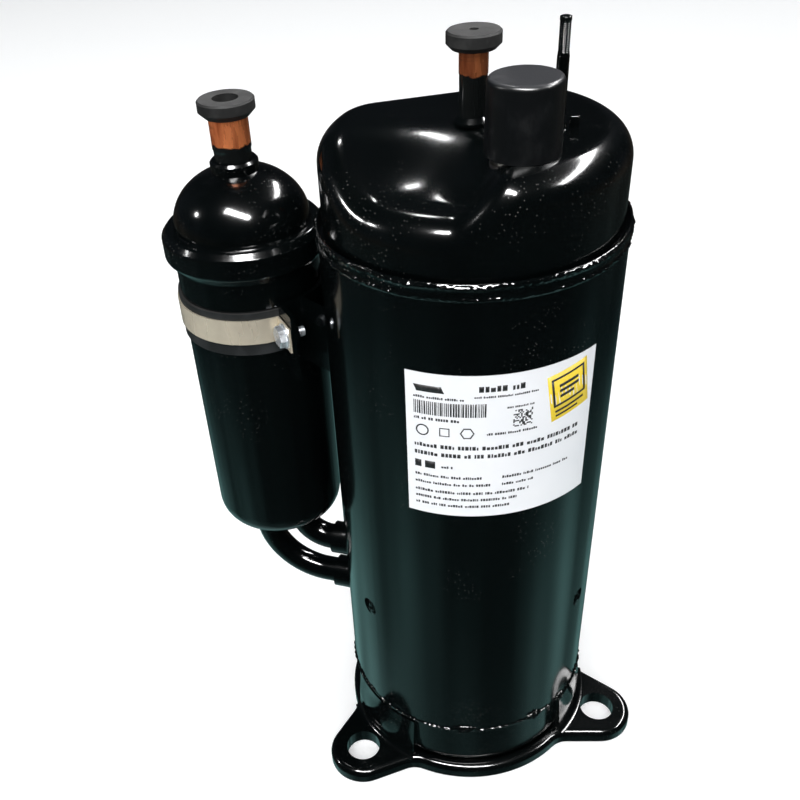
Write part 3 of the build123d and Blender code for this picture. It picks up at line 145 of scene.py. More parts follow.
def make_world():
    """Pale studio for the camera, and a dim workshop for reflections in the gloss."""
    world = bpy.data.worlds.new("studio")
    bpy.context.scene.world = world
    world.use_nodes = True
    tree = world.node_tree
    tree.nodes.clear()
    link = tree.links.new
    output = tree.nodes.new("ShaderNodeOutputWorld")
    pale = tree.nodes.new("ShaderNodeBackground")
    pale.inputs["Color"].default_value = (1.0, 1.0, 1.0, 1)
    pale.inputs["Strength"].default_value = 1.0
    soft = tree.nodes.new("ShaderNodeBackground")
    soft.inputs["Color"].default_value = (0.95, 0.98, 1.0, 1)
    soft.inputs["Strength"].default_value = 0.32
    dim = tree.nodes.new("ShaderNodeBackground")
    dim.inputs["Strength"].default_value = 1.0
    direction = tree.nodes.new("ShaderNodeTexCoord")
    split = tree.nodes.new("ShaderNodeSeparateXYZ")
    link(direction.outputs["Generated"], split.inputs["Vector"])
    shift = tree.nodes.new("ShaderNodeMapRange")
    shift.inputs["From Min"].default_value = -1.0
    shift.inputs["From Max"].default_value = 1.0
    link(split.outputs["Z"], shift.inputs["Value"])
    height = tree.nodes.new("ShaderNodeValToRGB")
    link(shift.outputs["Result"], height.inputs["Fac"])
    ramp = height.color_ramp
    stops = (
        (0.0, (0.13, 0.22, 0.22)),
        (0.15, (0.13, 0.28, 0.27)),
        (0.25, (0.020, 0.040, 0.042)),
        (0.38, (0.045, 0.038, 0.030)),
        (0.52, (0.016, 0.018, 0.022)),
        (1.0, (0.008, 0.009, 0.011)),
    )
    ramp.elements[0].color = (*stops[0][1], 1)
    ramp.elements[1].color = (*stops[-1][1], 1)
    for place, colour in stops[1:-1]:
        ramp.elements.new(place).color = (*colour, 1)
    stretch = tree.nodes.new("ShaderNodeMapping")
    stretch.inputs["Scale"].default_value = (1.9, 1.9, 0.7)
    link(direction.outputs["Generated"], stretch.inputs["Vector"])
    panels = tree.nodes.new("ShaderNodeTexNoise")
    panels.inputs["Scale"].default_value = 1.1
    panels.inputs["Detail"].default_value = 1.0
    link(stretch.outputs["Vector"], panels.inputs["Vector"])
    contrast = tree.nodes.new("ShaderNodeMapRange")
    contrast.inputs["From Min"].default_value = 0.36
    contrast.inputs["From Max"].default_value = 0.66
    contrast.inputs["To Min"].default_value = 0.35
    contrast.inputs["To Max"].default_value = 1.5
    link(panels.outputs["Fac"], contrast.inputs["Value"])
    front = tree.nodes.new("ShaderNodeMapRange")
    front.inputs["From Min"].default_value = -0.70
    front.inputs["From Max"].default_value = -0.15
    front.inputs["To Min"].default_value = 0.30
    front.inputs["To Max"].default_value = 1.55
    towards = tree.nodes.new("ShaderNodeVectorMath")
    towards.operation = "DOT_PRODUCT"
    towards.inputs[1].default_value = (-0.30, 1.0, 0.0)
    link(direction.outputs["Generated"], towards.inputs[0])
    link(towards.outputs["Value"], front.inputs["Value"])
    both = tree.nodes.new("ShaderNodeMath")
    both.operation = "MULTIPLY"
    link(contrast.outputs["Result"], both.inputs[0])
    link(front.outputs["Result"], both.inputs[1])
    scale = tree.nodes.new("ShaderNodeVectorMath")
    scale.operation = "SCALE"
    link(height.outputs["Color"], scale.inputs["Vector"])
    link(both.outputs["Value"], scale.inputs["Scale"])
    link(scale.outputs["Vector"], dim.inputs["Color"])
    rays = tree.nodes.new("ShaderNodeLightPath")
    glossy = tree.nodes.new("ShaderNodeMixShader")
    seen = tree.nodes.new("ShaderNodeMixShader")
    link(rays.outputs["Is Glossy Ray"], glossy.inputs[0])
    link(soft.outputs["Background"], glossy.inputs[1])
    link(dim.outputs["Background"], glossy.inputs[2])
    link(rays.outputs["Is Camera Ray"], seen.inputs[0])
    link(glossy.outputs["Shader"], seen.inputs[1])
    link(pale.outputs["Background"], seen.inputs[2])
    link(seen.outputs["Shader"], output.inputs["Surface"])


def make_stage():
    """Plain pale floor that reflections leave out, so the gloss stays dark."""
    mesh = bpy.data.meshes.new("floor")
    reach = 12.0
    corners = [(-reach, -reach, 0), (reach, -reach, 0), (reach, reach, 0), (-reach, reach, 0)]
    mesh.from_pydata(corners, [], [(0, 1, 2, 3)])
    floor = bpy.data.objects.new("floor", mesh)
    bpy.context.scene.collection.objects.link(floor)
    floor.location.z = cad_box[0].z - 0.0004
    paint = Paint("floor_paint")
    paint.set("Base Color", (0.93, 0.935, 0.94, 1))
    paint.set("Roughness", 0.9)
    paint.set("Specular IOR Level", 0.1)
    paint.set("Emission Color", (1, 1, 1, 1))
    paint.set("Emission Strength", 0.20)
    mesh.materials.append(paint.material)
    floor.visible_glossy = False


def make_lights():
    """Ceiling tubes seen only as highlights, and broad soft lights that no gloss shows."""
    tube_light("front_tube", (-0.70, -0.98, 2.25), (0.78, -1.66, 2.15), 0.34, 190)
    tube_light("back_lamp", (-0.52, 1.10, 2.25), (-0.30, 1.15, 2.25), 0.12, 6)
    tube_light("right_tube", (2.45, -0.70, 2.25), (1.10, 2.40, 2.25), 0.26, 150)
    tube_light("left_lamp", (-3.5, -0.62, 2.15), (-3.5, -0.32, 2.15), 0.26, 30)
    fill = area_light("fill", (-0.5, -1.9, 2.0), (0, 0, 0.2), (2.6, 2.6), 60)
    fill.visible_glossy = False
    top = area_light("top_fill", (0.0, 0.4, 3.0), (0, 0, 0.2), (3.0, 3.0), 60)
    top.visible_glossy = False


# ================================================================ materials
class Paint:
    """A Principled material with short names for the nodes that it is made of."""

    def __init__(self, name):
        self.material = bpy.data.materials.new(name)
        self.material.use_nodes = True
        self.tree = self.material.node_tree
        self.shader = self.tree.nodes["Principled BSDF"]
        self.place = self.node("ShaderNodeTexCoord").outputs["Object"]

    def node(self, kind, **settings):
        made = self.tree.nodes.new(kind)
        for key, value in settings.items():
            setattr(made, key, value)
        return made

    def link(self, source, target):
        self.tree.links.new(source, target)

    def set(self, socket, value):
        if isinstance(value, bpy.types.NodeSocket):
            self.link(value, self.shader.inputs[socket])
        else:
            self.shader.inputs[socket].default_value = value

    def stretched(self, scale):
        """Object coordinates stretched by a scale for each axis."""
        mapping = self.node("ShaderNodeMapping")
        mapping.inputs["Scale"].default_value = scale
        self.link(self.place, mapping.inputs["Vector"])
        return mapping.outputs["Vector"]

    def noise(self, scale, detail=3.0, roughness=0.5, vector=None):
        made = self.node("ShaderNodeTexNoise")
        made.inputs["Scale"].default_value = scale
        made.inputs["Detail"].default_value = detail
        made.inputs["Roughness"].default_value = roughness
        self.link(vector or self.place, made.inputs["Vector"])
        return made.outputs["Fac"]

    def cells(self, scale, vector=None):
        """Distance to the nearest of many scattered points."""
        made = self.node("ShaderNodeTexVoronoi")
        made.inputs["Scale"].default_value = scale
        self.link(vector or self.place, made.inputs["Vector"])
        return made.outputs["Distance"]

    def span(self, value, low, high, to_low=0.0, to_high=1.0):
        """A value moved from one range to another, and held inside it."""
        made = self.node("ShaderNodeMapRange")
        made.inputs["From Min"].default_value = low
        made.inputs["From Max"].default_value = high
        made.inputs["To Min"].default_value = to_low
        made.inputs["To Max"].default_value = to_high
        self.link(value, made.inputs["Value"])
        return made.outputs["Result"]

    def math(self, operation, first, second):
        made = self.node("ShaderNodeMath", operation=operation)
        for index, value in enumerate((first, second)):
            if isinstance(value, bpy.types.NodeSocket):
                self.link(value, made.inputs[index])
            else:
                made.inputs[index].default_value = value
        return made.outputs[0]

    def mix(self, share, first, second):
        made = self.node("ShaderNodeMix", data_type="RGBA")
        self.link(share, made.inputs["Factor"])
        for key, value in (("A", first), ("B", second)):
            socket = [s for s in made.inputs if s.name == key and s.type == "RGBA"][0]
            if isinstance(value, bpy.types.NodeSocket):
                self.link(value, socket)
            else:
                socket.default_value = (*value, 1)
        return [s for s in made.outputs if s.type == "RGBA"][0]

    def height_above(self):
        split = self.node("ShaderNodeSeparateXYZ")
        self.link(self.place, split.inputs["Vector"])
        return split.outputs["Z"]

    def painted_light_top_mask(self, low, high):
        """0 on the sides of the piece and 1 on its level tops, where a lighter top is painted in as
        light.
        """
        geometry = self.node("ShaderNodeNewGeometry")
        split = self.node("ShaderNodeSeparateXYZ")
        self.link(geometry.outputs["Normal"], split.inputs["Vector"])
        return self.span(split.outputs["Z"], low, high)

    def bump(self, height, depth, strength=1.0, under=None):
        made = self.node("ShaderNodeBump")
        made.inputs["Strength"].default_value = strength
        made.inputs["Distance"].default_value = depth
        self.link(height, made.inputs["Height"])
        if under is not None:
            self.link(under, made.inputs["Normal"])
        self.link(made.outputs["Normal"], self.shader.inputs["Normal"])
        return made.outputs["Normal"]


def dust_specks(paint, amount):
    """Scattered dust: small spots, and more of them in loose patches."""
    spots = paint.span(paint.cells(520), 0.10, 0.16, 1.0, 0.0)
    patches = paint.span(paint.noise(26, 3), 0.52, 0.72)
    return paint.math("MULTIPLY", paint.math("MULTIPLY", spots, patches), amount)


def gloss_paint(name, orange_peel=1.0, dust=0.3):
    """Thick glossy black enamel with a little orange peel and dust."""
    paint = Paint(name)
    specks = dust_specks(paint, dust)
    tone = paint.mix(paint.noise(14, 4), (0.0008, 0.0012, 0.0014), (0.0016, 0.0028, 0.0028))
    paint.set("Base Color", paint.mix(specks, tone, (0.30, 0.29, 0.27)))
    smears = paint.span(paint.noise(9, 5, 0.6), 0.35, 0.75, 0.08, 0.19)
    paint.set("Roughness", paint.math("ADD", smears, paint.math("MULTIPLY", specks, 0.5)))
    paint.set("IOR", 1.5)
    wave = paint.bump(paint.noise(38, 1), 0.00011 * orange_peel, 0.5)
    paint.bump(paint.noise(520, 2), 0.00002 * orange_peel, 0.5, under=wave)
    return paint.material


def rubber(name, colour=(0.006, 0.0065, 0.0065), dusty=(0.016, 0.0155, 0.015), top=0.075):
    """Matte moulded rubber with a dusty bloom; its level tops get a painted sheen, far lighter than
    its sides, and top is that sheen's colour.
    """
    paint = Paint(name)
    bloom = paint.span(paint.noise(120, 6, 0.65), 0.42, 0.70)
    side = paint.mix(bloom, colour, dusty)
    # painted sheen: the lit colour of level tops, with the dusty bloom in it
    level = paint.mix(bloom, (0.75 * top, 0.74 * top, 0.74 * top), (top, 0.98 * top, 0.97 * top))
    # sides keep the dark rubber colour, and level tops take the painted sheen
    paint.set("Base Color", paint.mix(paint.painted_light_top_mask(0.75, 0.97), side, level))
    paint.set("Roughness", paint.span(bloom, 0, 1, 0.62, 0.86))
    paint.set("Specular IOR Level", 0.3)
    grain = paint.bump(paint.noise(900, 4), 0.00012, 0.6)
    paint.bump(paint.noise(140, 3), 0.00030, 0.4, under=grain)
    return paint.material


def cover_moulding(name):
    """Satin black moulding of the terminal cover; its level top gets a painted reflection, far
    lighter than its sides.
    """
    paint = Paint(name)
    scuffs = paint.span(paint.noise(60, 8, 0.7), 0.52, 0.72)
    side = paint.mix(scuffs, (0.0022, 0.0030, 0.0038), (0.0045, 0.0055, 0.0065))
    # painted reflection: the lit colour of the level top, with the scuffs in it
    level = paint.mix(scuffs, (0.050, 0.051, 0.056), (0.070, 0.071, 0.076))
    paint.set("Base Color", paint.mix(paint.painted_light_top_mask(0.55, 0.98), side, level))
    paint.set("Roughness", paint.span(scuffs, 0, 1, 0.30, 0.44))
    paint.set("IOR", 1.46)
    paint.bump(paint.noise(700, 3), 0.00005, 0.5)
    return paint.material


def painted_copper(name, paint_top, bright):
    """Copper tube: enamel below a ragged line, and bare, streaked copper above it."""
    paint = Paint(name)
    streaks = paint.noise(30, 5, 0.6, vector=paint.stretched((6, 6, 1)))
    bands = paint.noise(60, 3, 0.6, vector=paint.stretched((0.6, 0.6, 5)))
    low, high = ((0.42, 0.10, 0.034), (0.92, 0.29, 0.10))
    low, high = [tuple(bright * c for c in tone) for tone in (low, high)]
    warm = paint.mix(paint.span(streaks, 0.35, 0.65), low, high)
    warm = paint.mix(paint.span(bands, 0.55, 0.75, 0, 0.7), warm, (0.12, 0.045, 0.02))
    ragged = paint.math("MULTIPLY", paint.noise(160, 3), 0.006)
    level = paint.math("ADD", paint.height_above(), ragged)
    bare = paint.span(level, paint_top + 0.0026, paint_top + 0.0034)
    paint.set("Base Color", paint.mix(bare, (0.005, 0.006, 0.006), warm))
    paint.set("Metallic", paint.math("MULTIPLY", bare, 0.5))
    rough = paint.span(streaks, 0.3, 0.7, 0.16, 0.36)
    paint.set("Roughness", paint.math("MAXIMUM", paint.math("MULTIPLY", bare, rough), 0.09))
    paint.bump(paint.noise(240, 4), 0.00012, 0.4)
    return paint.material


def moulded_plastic(name, colour, worn, rough=0.42, grain=700):
    """Satin moulded plastic with a fine grain and light scuffs."""
    paint = Paint(name)
    scuffs = paint.span(paint.noise(60, 8, 0.7), 0.52, 0.72)
    paint.set("Base Color", paint.mix(scuffs, colour, worn))
    paint.set("Roughness", paint.span(scuffs, 0, 1, rough, rough + 0.18))
    paint.set("IOR", 1.46)
    paint.bump(paint.noise(grain, 3), 0.00006, 0.5)
    return paint.material


def metal(
    name, colour, shade, rough=(0.22, 0.42), scale=(1, 1, 1), grain=400, depth=0.00006, metallic=1.0
):
    """Bare metal with a direction to its grain and a cloudy tarnish."""
    paint = Paint(name)
    clouds = paint.span(paint.noise(28, 5, 0.6), 0.35, 0.70)
    lines = paint.noise(grain, 3, 0.6, vector=paint.stretched(scale))
    paint.set("Base Color", paint.mix(clouds, colour, shade))
    paint.set("Metallic", metallic)
    paint.set("Roughness", paint.span(lines, 0.3, 0.7, *rough))
    paint.bump(lines, depth, 0.5)
    return paint.material


def laminations(name):
    """Stack of thin electrical sheets, seen as fine level lines."""
    paint = Paint(name)
    wave = paint.node("ShaderNodeTexWave", bands_direction="Z")
    wave.inputs["Scale"].default_value = 320
    wave.inputs["Distortion"].default_value = 0.6
    paint.link(paint.place, wave.inputs["Vector"])
    lines = wave.outputs["Fac"]
    paint.set("Base Color", paint.mix(lines, (0.10, 0.105, 0.12), (0.32, 0.33, 0.36)))
    paint.set("Metallic", 0.9)
    paint.set("Roughness", paint.span(paint.noise(50, 4), 0.3, 0.7, 0.30, 0.5))
    paint.bump(lines, 0.0001, 0.6)
    return paint.material


def windings(name):
    """Bundles of enamelled copper wire."""
    paint = Paint(name)
    wave = paint.node("ShaderNodeTexWave", bands_direction="DIAGONAL")
    wave.inputs["Scale"].default_value = 260
    wave.inputs["Distortion"].default_value = 3.0
    paint.link(paint.place, wave.inputs["Vector"])
    strands = wave.outputs["Fac"]
    paint.set("Base Color", paint.mix(strands, (0.24, 0.06, 0.015), (0.70, 0.28, 0.08)))
    paint.set("Metallic", 0.8)
    paint.set("Roughness", paint.span(paint.noise(90, 3), 0.3, 0.7, 0.18, 0.36))
    paint.bump(strands, 0.0004, 0.8)
    return paint.material


def cast_surface(name, colour=(0.11, 0.112, 0.118)):
    """Machined cast iron: tool lines over an open, grainy casting."""
    paint = Paint(name)
    grains = paint.noise(600, 5, 0.7)
    paint.set("Base Color", paint.mix(paint.noise(70, 5), colour, tuple(1.9 * c for c in colour)))
    paint.set("Metallic", 0.85)
    paint.set("Roughness", paint.span(grains, 0.3, 0.7, 0.34, 0.6))
    paint.bump(grains, 0.00015, 0.5)
    return paint.material


def label_film(name):
    """White printed film, slightly uneven."""
    paint = Paint(name)
    paint.set("Base Color", paint.mix(paint.noise(40, 4), (0.74, 0.76, 0.79), (0.80, 0.81, 0.83)))
    paint.set("Roughness", paint.span(paint.noise(30, 3), 0.3, 0.7, 0.30, 0.42))
    paint.bump(paint.noise(180, 2), 0.00005, 0.4)
    return paint.material


def label_ink(name, colour, worn):
    """Thermal print on the label, a little uneven."""
    paint = Paint(name)
    paint.set("Base Color", paint.mix(paint.span(paint.noise(700, 3), 0.5, 0.8), colour, worn))
    paint.set("Roughness", paint.span(paint.noise(90, 3), 0.3, 0.7, 0.40, 0.55))
    return paint.material


def sealing_glass(name):
    """Fused green glass of the terminal."""
    paint = Paint(name)
    paint.set("Base Color", paint.mix(paint.noise(300, 3), (0.05, 0.16, 0.12), (0.09, 0.26, 0.20)))
    paint.set("Roughness", paint.span(paint.noise(120, 2), 0.3, 0.7, 0.05, 0.14))
    paint.set("IOR", 1.52)
    return paint.material


def make_materials():
    """Every material by the name of the record's slot that it stands for, or of the piece."""
    ink = (0.012, 0.012, 0.013)
    return {
        "black_paint": gloss_paint("black_paint"),
        "weld": gloss_paint("weld_paint", orange_peel=2.5, dust=0.8),
        "discharge_copper": painted_copper("discharge_copper", 0.408, 0.5),
        "suction_copper": painted_copper("suction_copper", 0.3718, 1.0),
        "copper": metal("copper", (0.72, 0.30, 0.13), (0.34, 0.13, 0.06), (0.2, 0.4)),
        "braze": gloss_paint("braze_paint", orange_peel=2.0),
        "plug_rubber": rubber("plug_rubber"),
        "cover_plastic": cover_moulding("cover_plastic"),
        "stainless": metal(
            "stainless", (0.82, 0.73, 0.57), (0.60, 0.54, 0.43), (0.16, 0.30), (1, 1, 0.2), 60,
            depth=0.00002, metallic=0.5,
        ),
        "zinc": metal("zinc", (0.74, 0.77, 0.80), (0.55, 0.58, 0.62), (0.22, 0.40), metallic=0.75),
        # top gives the painted sheen colour on the level tops of this rubber
        "pad_rubber": rubber("pad_rubber", (0.006, 0.008, 0.009), (0.012, 0.015, 0.017), top=0.02),
        "label_film": label_film("label_film"),
        "ink": label_ink("label_ink", ink, (0.05, 0.05, 0.05)),
        "yellow": label_ink("label_yellow", (0.86, 0.62, 0.01), (0.90, 0.70, 0.05)),
        "terminal_steel": metal("terminal_steel", (0.42, 0.41, 0.39), (0.28, 0.27, 0.26)),
        "pin_steel": metal("pin_steel", (0.60, 0.60, 0.60), (0.44, 0.44, 0.45)),
        "sealing_glass": sealing_glass("sealing_glass"),
        # top gives the painted sheen colour on the level tops of this rubber
        "gasket_rubber": rubber("gasket_rubber", (0.02, 0.02, 0.02), (0.03, 0.03, 0.03), top=0.03),
        "mesh_steel": metal("mesh_steel", (0.52, 0.52, 0.50), (0.36, 0.36, 0.35)),
        "lamination": laminations("lamination"),
        "insulator": moulded_plastic("insulator", (0.72, 0.70, 0.62), (0.62, 0.60, 0.52), 0.5),
        "enamelled_wire": windings("enamelled_wire"),
        "lead_sleeve": moulded_plastic(
            "lead_sleeve", (0.42, 0.05, 0.035), (0.30, 0.05, 0.04), 0.6, 1500
        ),
        "connector_plastic": moulded_plastic(
            "connector_plastic", (0.60, 0.57, 0.48), (0.5, 0.48, 0.42)
        ),
        "cast_iron": cast_surface("cast_iron"),
        "ground_steel": metal("ground_steel", (0.56, 0.56, 0.57), (0.42, 0.42, 0.43), (0.12, 0.26)),
        "sheet_steel": metal("sheet_steel", (0.38, 0.38, 0.38), (0.26, 0.26, 0.26), (0.28, 0.5)),
        "bolt_steel": metal("bolt_steel", (0.14, 0.14, 0.15), (0.08, 0.08, 0.09), (0.25, 0.45)),
        "spring_steel": metal("spring_steel", (0.40, 0.40, 0.42), (0.26, 0.26, 0.28)),
        "magnet": metal("magnet", (0.60, 0.59, 0.55), (0.50, 0.49, 0.46), (0.08, 0.2)),
        "balance_brass": metal("balance_brass", (0.66, 0.50, 0.22), (0.48, 0.36, 0.16)),
    }


# ================================================================ mesh helpers
def finish_mesh(name, points, faces, material):
    """Mesh object in the part's frame, smooth shaded."""
    mesh = bpy.data.meshes.new(name)
    mesh.from_pydata([tuple(p) for p in points], [], faces)
    mesh.validate()
    mesh.materials.append(material)
    mesh.shade_smooth()
    piece = bpy.data.objects.new(name, mesh)
    bpy.context.scene.collection.objects.link(piece)
    return piece


def grid_faces(rows, columns, wrap_rows=False, wrap_columns=False):
    """Quads that join a grid of points, row by row, wrapped where asked."""
    faces = []
    for i in range(rows if wrap_rows else rows - 1):
        for j in range(columns if wrap_columns else columns - 1):
            i2, j2 = (i + 1) % rows, (j + 1) % columns
            faces.append([i * columns + j, i * columns + j2, i2 * columns + j2, i2 * columns + j])
    return faces


def ring_solid(name, material, sections, segments, place):
    """Closed ring: place(section, angle) gives a point for each step round and across."""
    points = []
    for j in range(segments):
        angle = 2 * math.pi * j / segments
        points += [place(k / sections, angle) for k in range(sections)]
    return finish_mesh(name, points, grid_faces(segments, sections, True, True), material)


# ================================================================ pieces
SCOOP_X, SCOOP_Y = -0.031, -0.055
SCOOP_DEPTH = 0.0175
BACK_AZIMUTH = 108
BACK_DROP = 0.0105
CAP_RIM = 0.0140
CAP_WALL = 0.0032


def cap_top(x, y):
    """Height of the cap's drawn top: a plateau, a scooped shelf and a lower back edge."""
    across, behind = x - SCOOP_X, y - SCOOP_Y
    from_scoop = math.hypot(across, behind)
    backward = smoothstep(0.0, 0.8, behind / max(from_scoop, 1e-6))
    floor_edge = 0.024 - 0.014 * backward
    rim_edge = 0.048 + 0.014 * backward
    scoop = 1 - smoothstep(floor_edge, rim_edge, from_scoop)
    turn = math.radians(BACK_AZIMUTH)
    towards_back = x * math.cos(turn) + y * math.sin(turn)
    back = smoothstep(0.040, 0.070, towards_back)
    return PLATEAU - SCOOP_DEPTH * scoop - BACK_DROP * back


def make_cap(material):
    """Drawn upper cap, closed underneath by an inner skin."""
    segments, flat_rings, round_rings = 192, 40, 14
    profile = []
    for i in range(1, flat_rings + 1):
        profile.append(((CAP_R - CAP_RIM) * i / flat_rings, 0.0))
    for i in range(1, round_rings + 1):
        turn = math.pi / 2 * i / round_rings
        out, fall = CAP_RIM * math.sin(turn), CAP_RIM * (1 - math.cos(turn))
        profile.append((CAP_R - CAP_RIM + out, fall))
    points = []
    for r, fall in profile:
        for j in range(segments):
            angle = 2 * math.pi * j / segments
            flat = min(r, CAP_R - CAP_RIM * 0.55)
            level = cap_top(flat * math.cos(angle), flat * math.sin(angle))
            points.append((r * math.cos(angle), r * math.sin(angle), level - fall))
    skirt = (
        (CAP_R, SHELL_TOP + 0.006),
        (CAP_R, cap_low.z),
        (CAP_R - CAP_WALL, cap_low.z),
        (CAP_R - CAP_WALL, SHELL_TOP + 0.010),
    )
    for r, z in skirt:
        for j in range(segments):
            angle = 2 * math.pi * j / segments
            points.append((r * math.cos(angle), r * math.sin(angle), z))
    rows = len(profile) + len(skirt)
    faces = grid_faces(rows, segments, wrap_columns=True)
    top, bottom = len(points), len(points) + 1
    points.append((0, 0, cap_top(0, 0)))
    points.append((0, 0, SHELL_TOP + 0.020))
    last = (rows - 1) * segments
    for j in range(segments):
        j2 = (j + 1) % segments
        faces.append([top, j2, j])
        faces.append([bottom, last + j, last + j2])
    piece = finish_mesh("cap_dome", points, [face[::-1] for face in faces], material)
    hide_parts("upper_cap")
    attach(piece, "housing")


def make_seam_weld(name, material, low, high, inner, crests, depth, seed):
    """Lumpy weld bead in a seam: crests are heights where the metal heaps up."""
    sections, segments = 24, 900
    random.seed(seed)
    offset = random.uniform(0, 40)

    def place(share, angle):
        if share >= 0.75:
            along = (share - 0.75) / 0.25
            r = inner - 0.0006
            return Vector((r * math.cos(angle), r * math.sin(angle), high + (low - high) * along))
        along = share / 0.75
        z = low + (high - low) * along
        swirl = Vector((math.cos(angle) * 10, math.sin(angle) * 10, z * 300 + offset))
        fine = Vector((math.cos(angle) * 38, math.sin(angle) * 38, z * 900 + offset))
        lumps = 0.75 + 0.9 * noise.noise(swirl) + 0.9 * noise.noise(fine)
        wander = 0.05 * noise.noise(Vector((math.cos(angle) * 5, math.sin(angle) * 5, offset)))
        heap = sum(math.exp(-(((along - crest - wander) / 0.10) ** 2)) for crest in crests)
        body = math.sin(math.pi * along) ** 0.35
        r = inner + depth * (0.22 * body + 0.75 * heap * max(0.15, lumps))
        return Vector((r * math.cos(angle), r * math.sin(angle), z))

    piece = ring_solid(name, material, sections, segments, place)
    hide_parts("seam_weld_beads")
    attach(piece, "housing")


def weld_blob(name, material, azimuth, height, size, seed, node="seam_weld_beads"):
    """Heap of weld metal on the shell: size is its width, height and thickness."""
    rows, columns = 15, 40
    width, tall, thick = size
    points = []
    for i in range(rows):
        out = i / (rows - 1)
        for j in range(columns):
            around = 2 * math.pi * j / columns
            spread = math.cos(math.pi / 2 * out)
            edge = Vector((seed, 2 * math.cos(around), 2 * math.sin(around)))
            rough = 1 + 0.28 * noise.noise(edge)
            side = width / 2 * spread * rough * math.cos(around)
            up = tall / 2 * spread * rough * math.sin(around)
            bumps = noise.noise(Vector((side * 620 + seed, up * 620, out * 3)))
            lift = thick * (math.sin(math.pi / 2 * out) + 0.9 * bumps * out) - 0.0004
            turn = azimuth + math.degrees(side / SHELL_R)
            points.append(polar(SHELL_R + lift, turn, height + up))
    faces = grid_faces(rows, columns, wrap_columns=True)
    faces.append(list(range(columns))[::-1])
    faces.append([(rows - 1) * columns + j for j in range(columns)])
    piece = finish_mesh(name, points, faces, material)
    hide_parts(node)
    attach(piece, "housing")


def make_stud(material):
    """Black stud: foot collar, plain shank, threaded end and a narrowed tip."""
    x, y = (stud_low.x + stud_high.x) / 2, (stud_low.y + stud_high.y) / 2
    segments, pitch, depth = 40, 0.0008, 0.00042
    shank, core = 0.00265, 0.0025
    thread_low, thread_high = 0.4170, 0.4296
    levels = [PLATEAU, PLATEAU + 0.0006, PLATEAU + 0.0014, PLATEAU + 0.0020]
    radii = [0.0036, 0.0038, 0.0036, shank]
    z = PLATEAU + 0.004
    while z < stud_high.z - 0.0003:
        levels.append(z)
        radii.append(shank if z < thread_low - 0.001 else core)
        z += 0.0030 if z < thread_low - 0.003 else pitch / 6
    levels += [stud_high.z - 0.0002, stud_high.z]
    radii += [core - 0.0003, core - 0.0008]
    points = []
    for z, radius in zip(levels, radii):
        for j in range(segments):
            angle = 2 * math.pi * j / segments
            r = radius
            if thread_low < z < thread_high:
                turn = (z / pitch + angle / (2 * math.pi)) % 1.0
                fade = smoothstep(thread_low, thread_low + 0.001, z)
                r -= depth * fade * abs(2 * turn - 1)
            points.append((x + r * math.cos(angle), y + r * math.sin(angle), z))
    rows = len(levels)
    faces = grid_faces(rows, segments, wrap_columns=True)
    faces.append(list(range(segments))[::-1])
    faces.append([(rows - 1) * segments + j for j in range(segments)])
    piece = finish_mesh("stud", points, faces, material)
    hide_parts("cover_stud")
    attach(piece, "housing")


# ---------------------------------------------------------------- label print
LABEL_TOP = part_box("rating_label")[1].z
LABEL_START = 247.0
LABEL_R = SHELL_R + 0.00029
INK_LIFT = 0.00003


class LabelPrint:
    """Flat ink shapes wrapped on the label. u runs left to right and v down, in mm."""

    def __init__(self):
        self.points = []
        self.faces = []

    def on_label(self, u, v, lift):
        azimuth = LABEL_START + math.degrees(u * MM / SHELL_R)
        return polar(LABEL_R + lift, azimuth, LABEL_TOP - v * MM)

    def quad(self, corners, lift=INK_LIFT):
        """Four-cornered patch, cut across its width so that it follows the curve."""
        (u0, v0), (u1, v1), (u2, v2), (u3, v3) = corners
        steps = max(1, int(abs(u1 - u0) / 2.0))
        base = len(self.points)
        for k in range(steps + 1):
            t = k / steps
            self.points.append(self.on_label(u0 + (u1 - u0) * t, v0 + (v1 - v0) * t, lift))
            self.points.append(self.on_label(u3 + (u2 - u3) * t, v3 + (v2 - v3) * t, lift))
        for k in range(steps):
            a = base + 2 * k
            self.faces.append([a, a + 1, a + 3, a + 2])

    def bar(self, u, v, wide, tall, lift=INK_LIFT):
        self.quad(((u, v), (u + wide, v), (u + wide, v + tall), (u, v + tall)), lift)

    def ring(self, u, v, radius, line, lift=INK_LIFT, sides=20, turn=0.0):
        """Ring or, with few sides, an outlined polygon."""
        for k in range(sides):
            a0 = 2 * math.pi * k / sides + turn
            a1 = 2 * math.pi * (k + 1) / sides + turn
            corners = []
            for angle, r in ((a0, radius), (a1, radius), (a1, radius - line), (a0, radius - line)):
                corners.append((u + r * math.cos(angle), v - r * math.sin(angle)))
            self.quad(corners, lift)

    def greeked_line(self, u, v, wide, tall, seed):
        """Line of blocks in word-like groups, which stands for print without being any."""
        random.seed(seed)
        end = u + wide
        while u < end:
            for _ in range(random.randint(2, 8)):
                block = tall * random.choice((0.35, 0.55, 0.6, 0.7))
                if u + block > end:
                    break
                drop = random.choice((0.0, 0.0, 0.25)) * tall
                self.bar(u, v + drop, block, tall - drop)
                u += block + 0.22 * tall
            u += 0.6 * tall

    def piece(self, name, material):
        made = finish_mesh(name, self.points, self.faces, material)
        solidify = made.modifiers.new("thickness", "SOLIDIFY")
        solidify.thickness = 0.00002
        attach(made, "housing")


